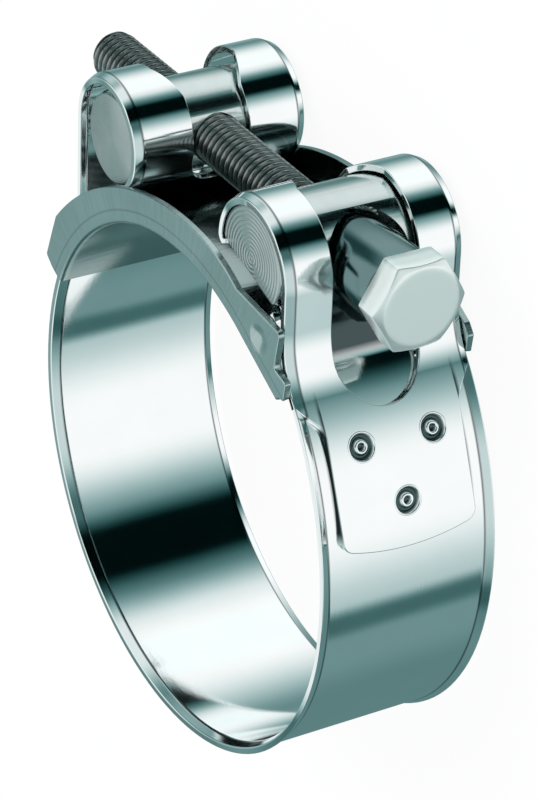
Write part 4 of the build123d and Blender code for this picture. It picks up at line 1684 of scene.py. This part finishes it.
def tent_colour(tree):
    """Colour of the soft boxes, the black screens and the teal wall in each direction."""
    vector = add_node(tree, "ShaderNodeTexCoord").outputs["Generated"]
    parts = add_node(tree, "ShaderNodeSeparateXYZ", (vector,)).outputs
    turn = maths(tree, "DEGREES", maths(tree, "ARCTAN2", parts["Y"], parts["X"]))
    angle = maths(tree, "WRAP", turn, 270.0, -90.0)
    low = light_boxes(tree, angle, LOW_BOXES, WALL_LOW)
    high = light_boxes(tree, angle, HIGH_BOXES, WALL_HIGH)
    rise = remap(tree, parts["Z"], *MIDDLE, kind="SMOOTHSTEP")
    above = remap(tree, parts["Z"], *TOP_BOX[:2], kind="SMOOTHSTEP")
    level = mixed(tree, "FLOAT", above, mixed(tree, "FLOAT", rise, low, high), TOP_BOX[2])
    dark = light_boxes(tree, angle, (SCREEN, FOOT_SCREEN), 0.0)
    level = maths(tree, "MULTIPLY", level, maths(tree, "SUBTRACT", 1.0, dark))
    red = maths(tree, "MINIMUM", maths(tree, "POWER", level, RED_POWER), 1.0)
    return add_node(tree, "ShaderNodeCombineColor", (red, level, level)).outputs[0]


def shader_mix(tree, share, first, second, output):
    """Mix two shaders into a tree's output."""
    sources = (share, first.outputs[0], second.outputs[0])
    mix = add_node(tree, "ShaderNodeMixShader", sources)
    add_node(tree, output, {"Surface": mix.outputs[0]})


class CLAMP_OT_stage(bpy.types.Operator):
    """Set the pale floor, the soft studio light and the camera"""

    bl_idname = "clamp.stage"
    bl_label = "Stage"

    def execute(self, context):
        settings = context.scene.clamp.stage
        self.floor(settings.floor_colour)
        self.light(settings.key_power)
        self.world(context.scene)
        self.camera(context.scene)
        context.scene.view_settings.view_transform = "Standard"
        return {"FINISHED"}

    def floor(self, colour):
        size = FLOOR_HALF_SIZE
        corners = ((-size, -size), (size, -size), (size, size), (-size, size))
        mesh = bpy.data.meshes.new("floor")
        mesh.from_pydata([(x, y, FLOOR_Z * MM) for x, y in corners], [], [(0, 1, 2, 3)])
        floor = linked("floor", mesh)
        material = bpy.data.materials.new("floor_paint")
        material.use_nodes = True
        tree = material.node_tree
        tree.nodes.clear()
        paint = add_node(tree, "ShaderNodeBsdfDiffuse", {"Color": shade(colour)})
        glow = add_node(tree, "ShaderNodeEmission", {"Color": GLOW_COLOUR, "Strength": 1.0})
        # Camera, glossy and transmission rays see the glow, the rest the paint alone
        path = add_node(tree, "ShaderNodeLightPath").outputs
        seen = maths(tree, "MAXIMUM", path["Is Camera Ray"], path["Is Glossy Ray"])
        seen = maths(tree, "MAXIMUM", seen, path["Is Transmission Ray"])
        share = maths(tree, "MULTIPLY", seen, FLOOR_GLOW)
        shader_mix(tree, share, paint, glow, "ShaderNodeOutputMaterial")
        mesh.materials.append(material)
        # The metal mirrors the tent all round, not the floor at its foot
        floor.visible_glossy = False

    def light(self, power):
        lamp = bpy.data.lights.new("key", "AREA")
        lamp.shape = "RECTANGLE"
        lamp.size = lamp.size_y = KEY_SIZE
        lamp.energy = power
        key = linked("key", lamp)
        key.location = KEY_SPOT
        key.visible_glossy = False
        key.rotation_euler = (-Vector(KEY_SPOT)).to_track_quat("-Z", "Y").to_euler()

    def world(self, scene):
        world = bpy.data.worlds.new("studio")
        world.use_nodes = True
        scene.world = world
        tree = world.node_tree
        tree.nodes.clear()
        inputs = {"Color": SOFT_COLOUR, "Strength": SOFT_STRENGTH}
        soft = add_node(tree, "ShaderNodeBackground", inputs)
        tent = add_node(tree, "ShaderNodeBackground", {"Color": tent_colour(tree)})
        glossy = add_node(tree, "ShaderNodeLightPath").outputs["Is Glossy Ray"]
        shader_mix(tree, glossy, soft, tent, "ShaderNodeOutputWorld")
        # Seen only by chance rays, so that the metal takes its share from the tent alone
        world.cycles.sampling_method = "NONE"

    def camera(self, scene):
        camera = bpy.data.cameras.new("camera")
        camera.sensor_fit = "AUTO"
        camera.sensor_width = CAMERA_SENSOR
        camera.lens = CAMERA_LENS
        camera.clip_start = 0.01
        back = Vector(CAMERA_BACK).normalized()
        up = back.cross(Vector(CAMERA_RIGHT)).normalized()
        right = up.cross(back).normalized()
        turn = Matrix((right, up, back)).transposed()
        scene.camera = linked("camera", camera)
        scene.camera.matrix_world = Matrix.Translation(CAMERA_SPOT) @ turn.to_4x4()


class CLAMP_PT_panel(bpy.types.Panel):
    bl_label = "Clamp"
    bl_idname = "CLAMP_PT_panel"
    bl_space_type = "VIEW_3D"
    bl_region_type = "UI"
    bl_category = "Clamp"

    def draw(self, context):
        layout = self.layout
        settings = context.scene.clamp
        for part in (settings.sheet, settings.bars, settings.bolt, settings.stage):
            box = layout.box()
            for name in part.bl_rna.properties.keys():
                if name not in ("rna_type", "name"):
                    box.prop(part, name)
        for operator in OPERATORS:
            layout.operator(operator.bl_idname)


OPERATORS = (
    CLAMP_OT_stage,
    CLAMP_OT_band,
    CLAMP_OT_clinches,
    CLAMP_OT_bridge,
    CLAMP_OT_trunnions,
    CLAMP_OT_bolt,
    CLAMP_OT_spacer,
)
CLASSES = (
    ClampSheetSettings,
    ClampBarSettings,
    ClampBoltSettings,
    ClampStageSettings,
    ClampSettings,
    *OPERATORS,
    CLAMP_PT_panel,
)


def register():
    for item in CLASSES:
        bpy.utils.register_class(item)
    bpy.types.Scene.clamp = PointerProperty(type=ClampSettings)


def unregister():
    del bpy.types.Scene.clamp
    for item in reversed(CLASSES):
        bpy.utils.unregister_class(item)


def main():
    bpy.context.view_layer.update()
    register()
    bpy.ops.clamp.stage()
    bpy.ops.clamp.band()
    bpy.ops.clamp.clinches()
    bpy.ops.clamp.bridge()
    bpy.ops.clamp.trunnions()
    bpy.ops.clamp.bolt()
    bpy.ops.clamp.spacer()


if __name__ == "__main__":
    main()
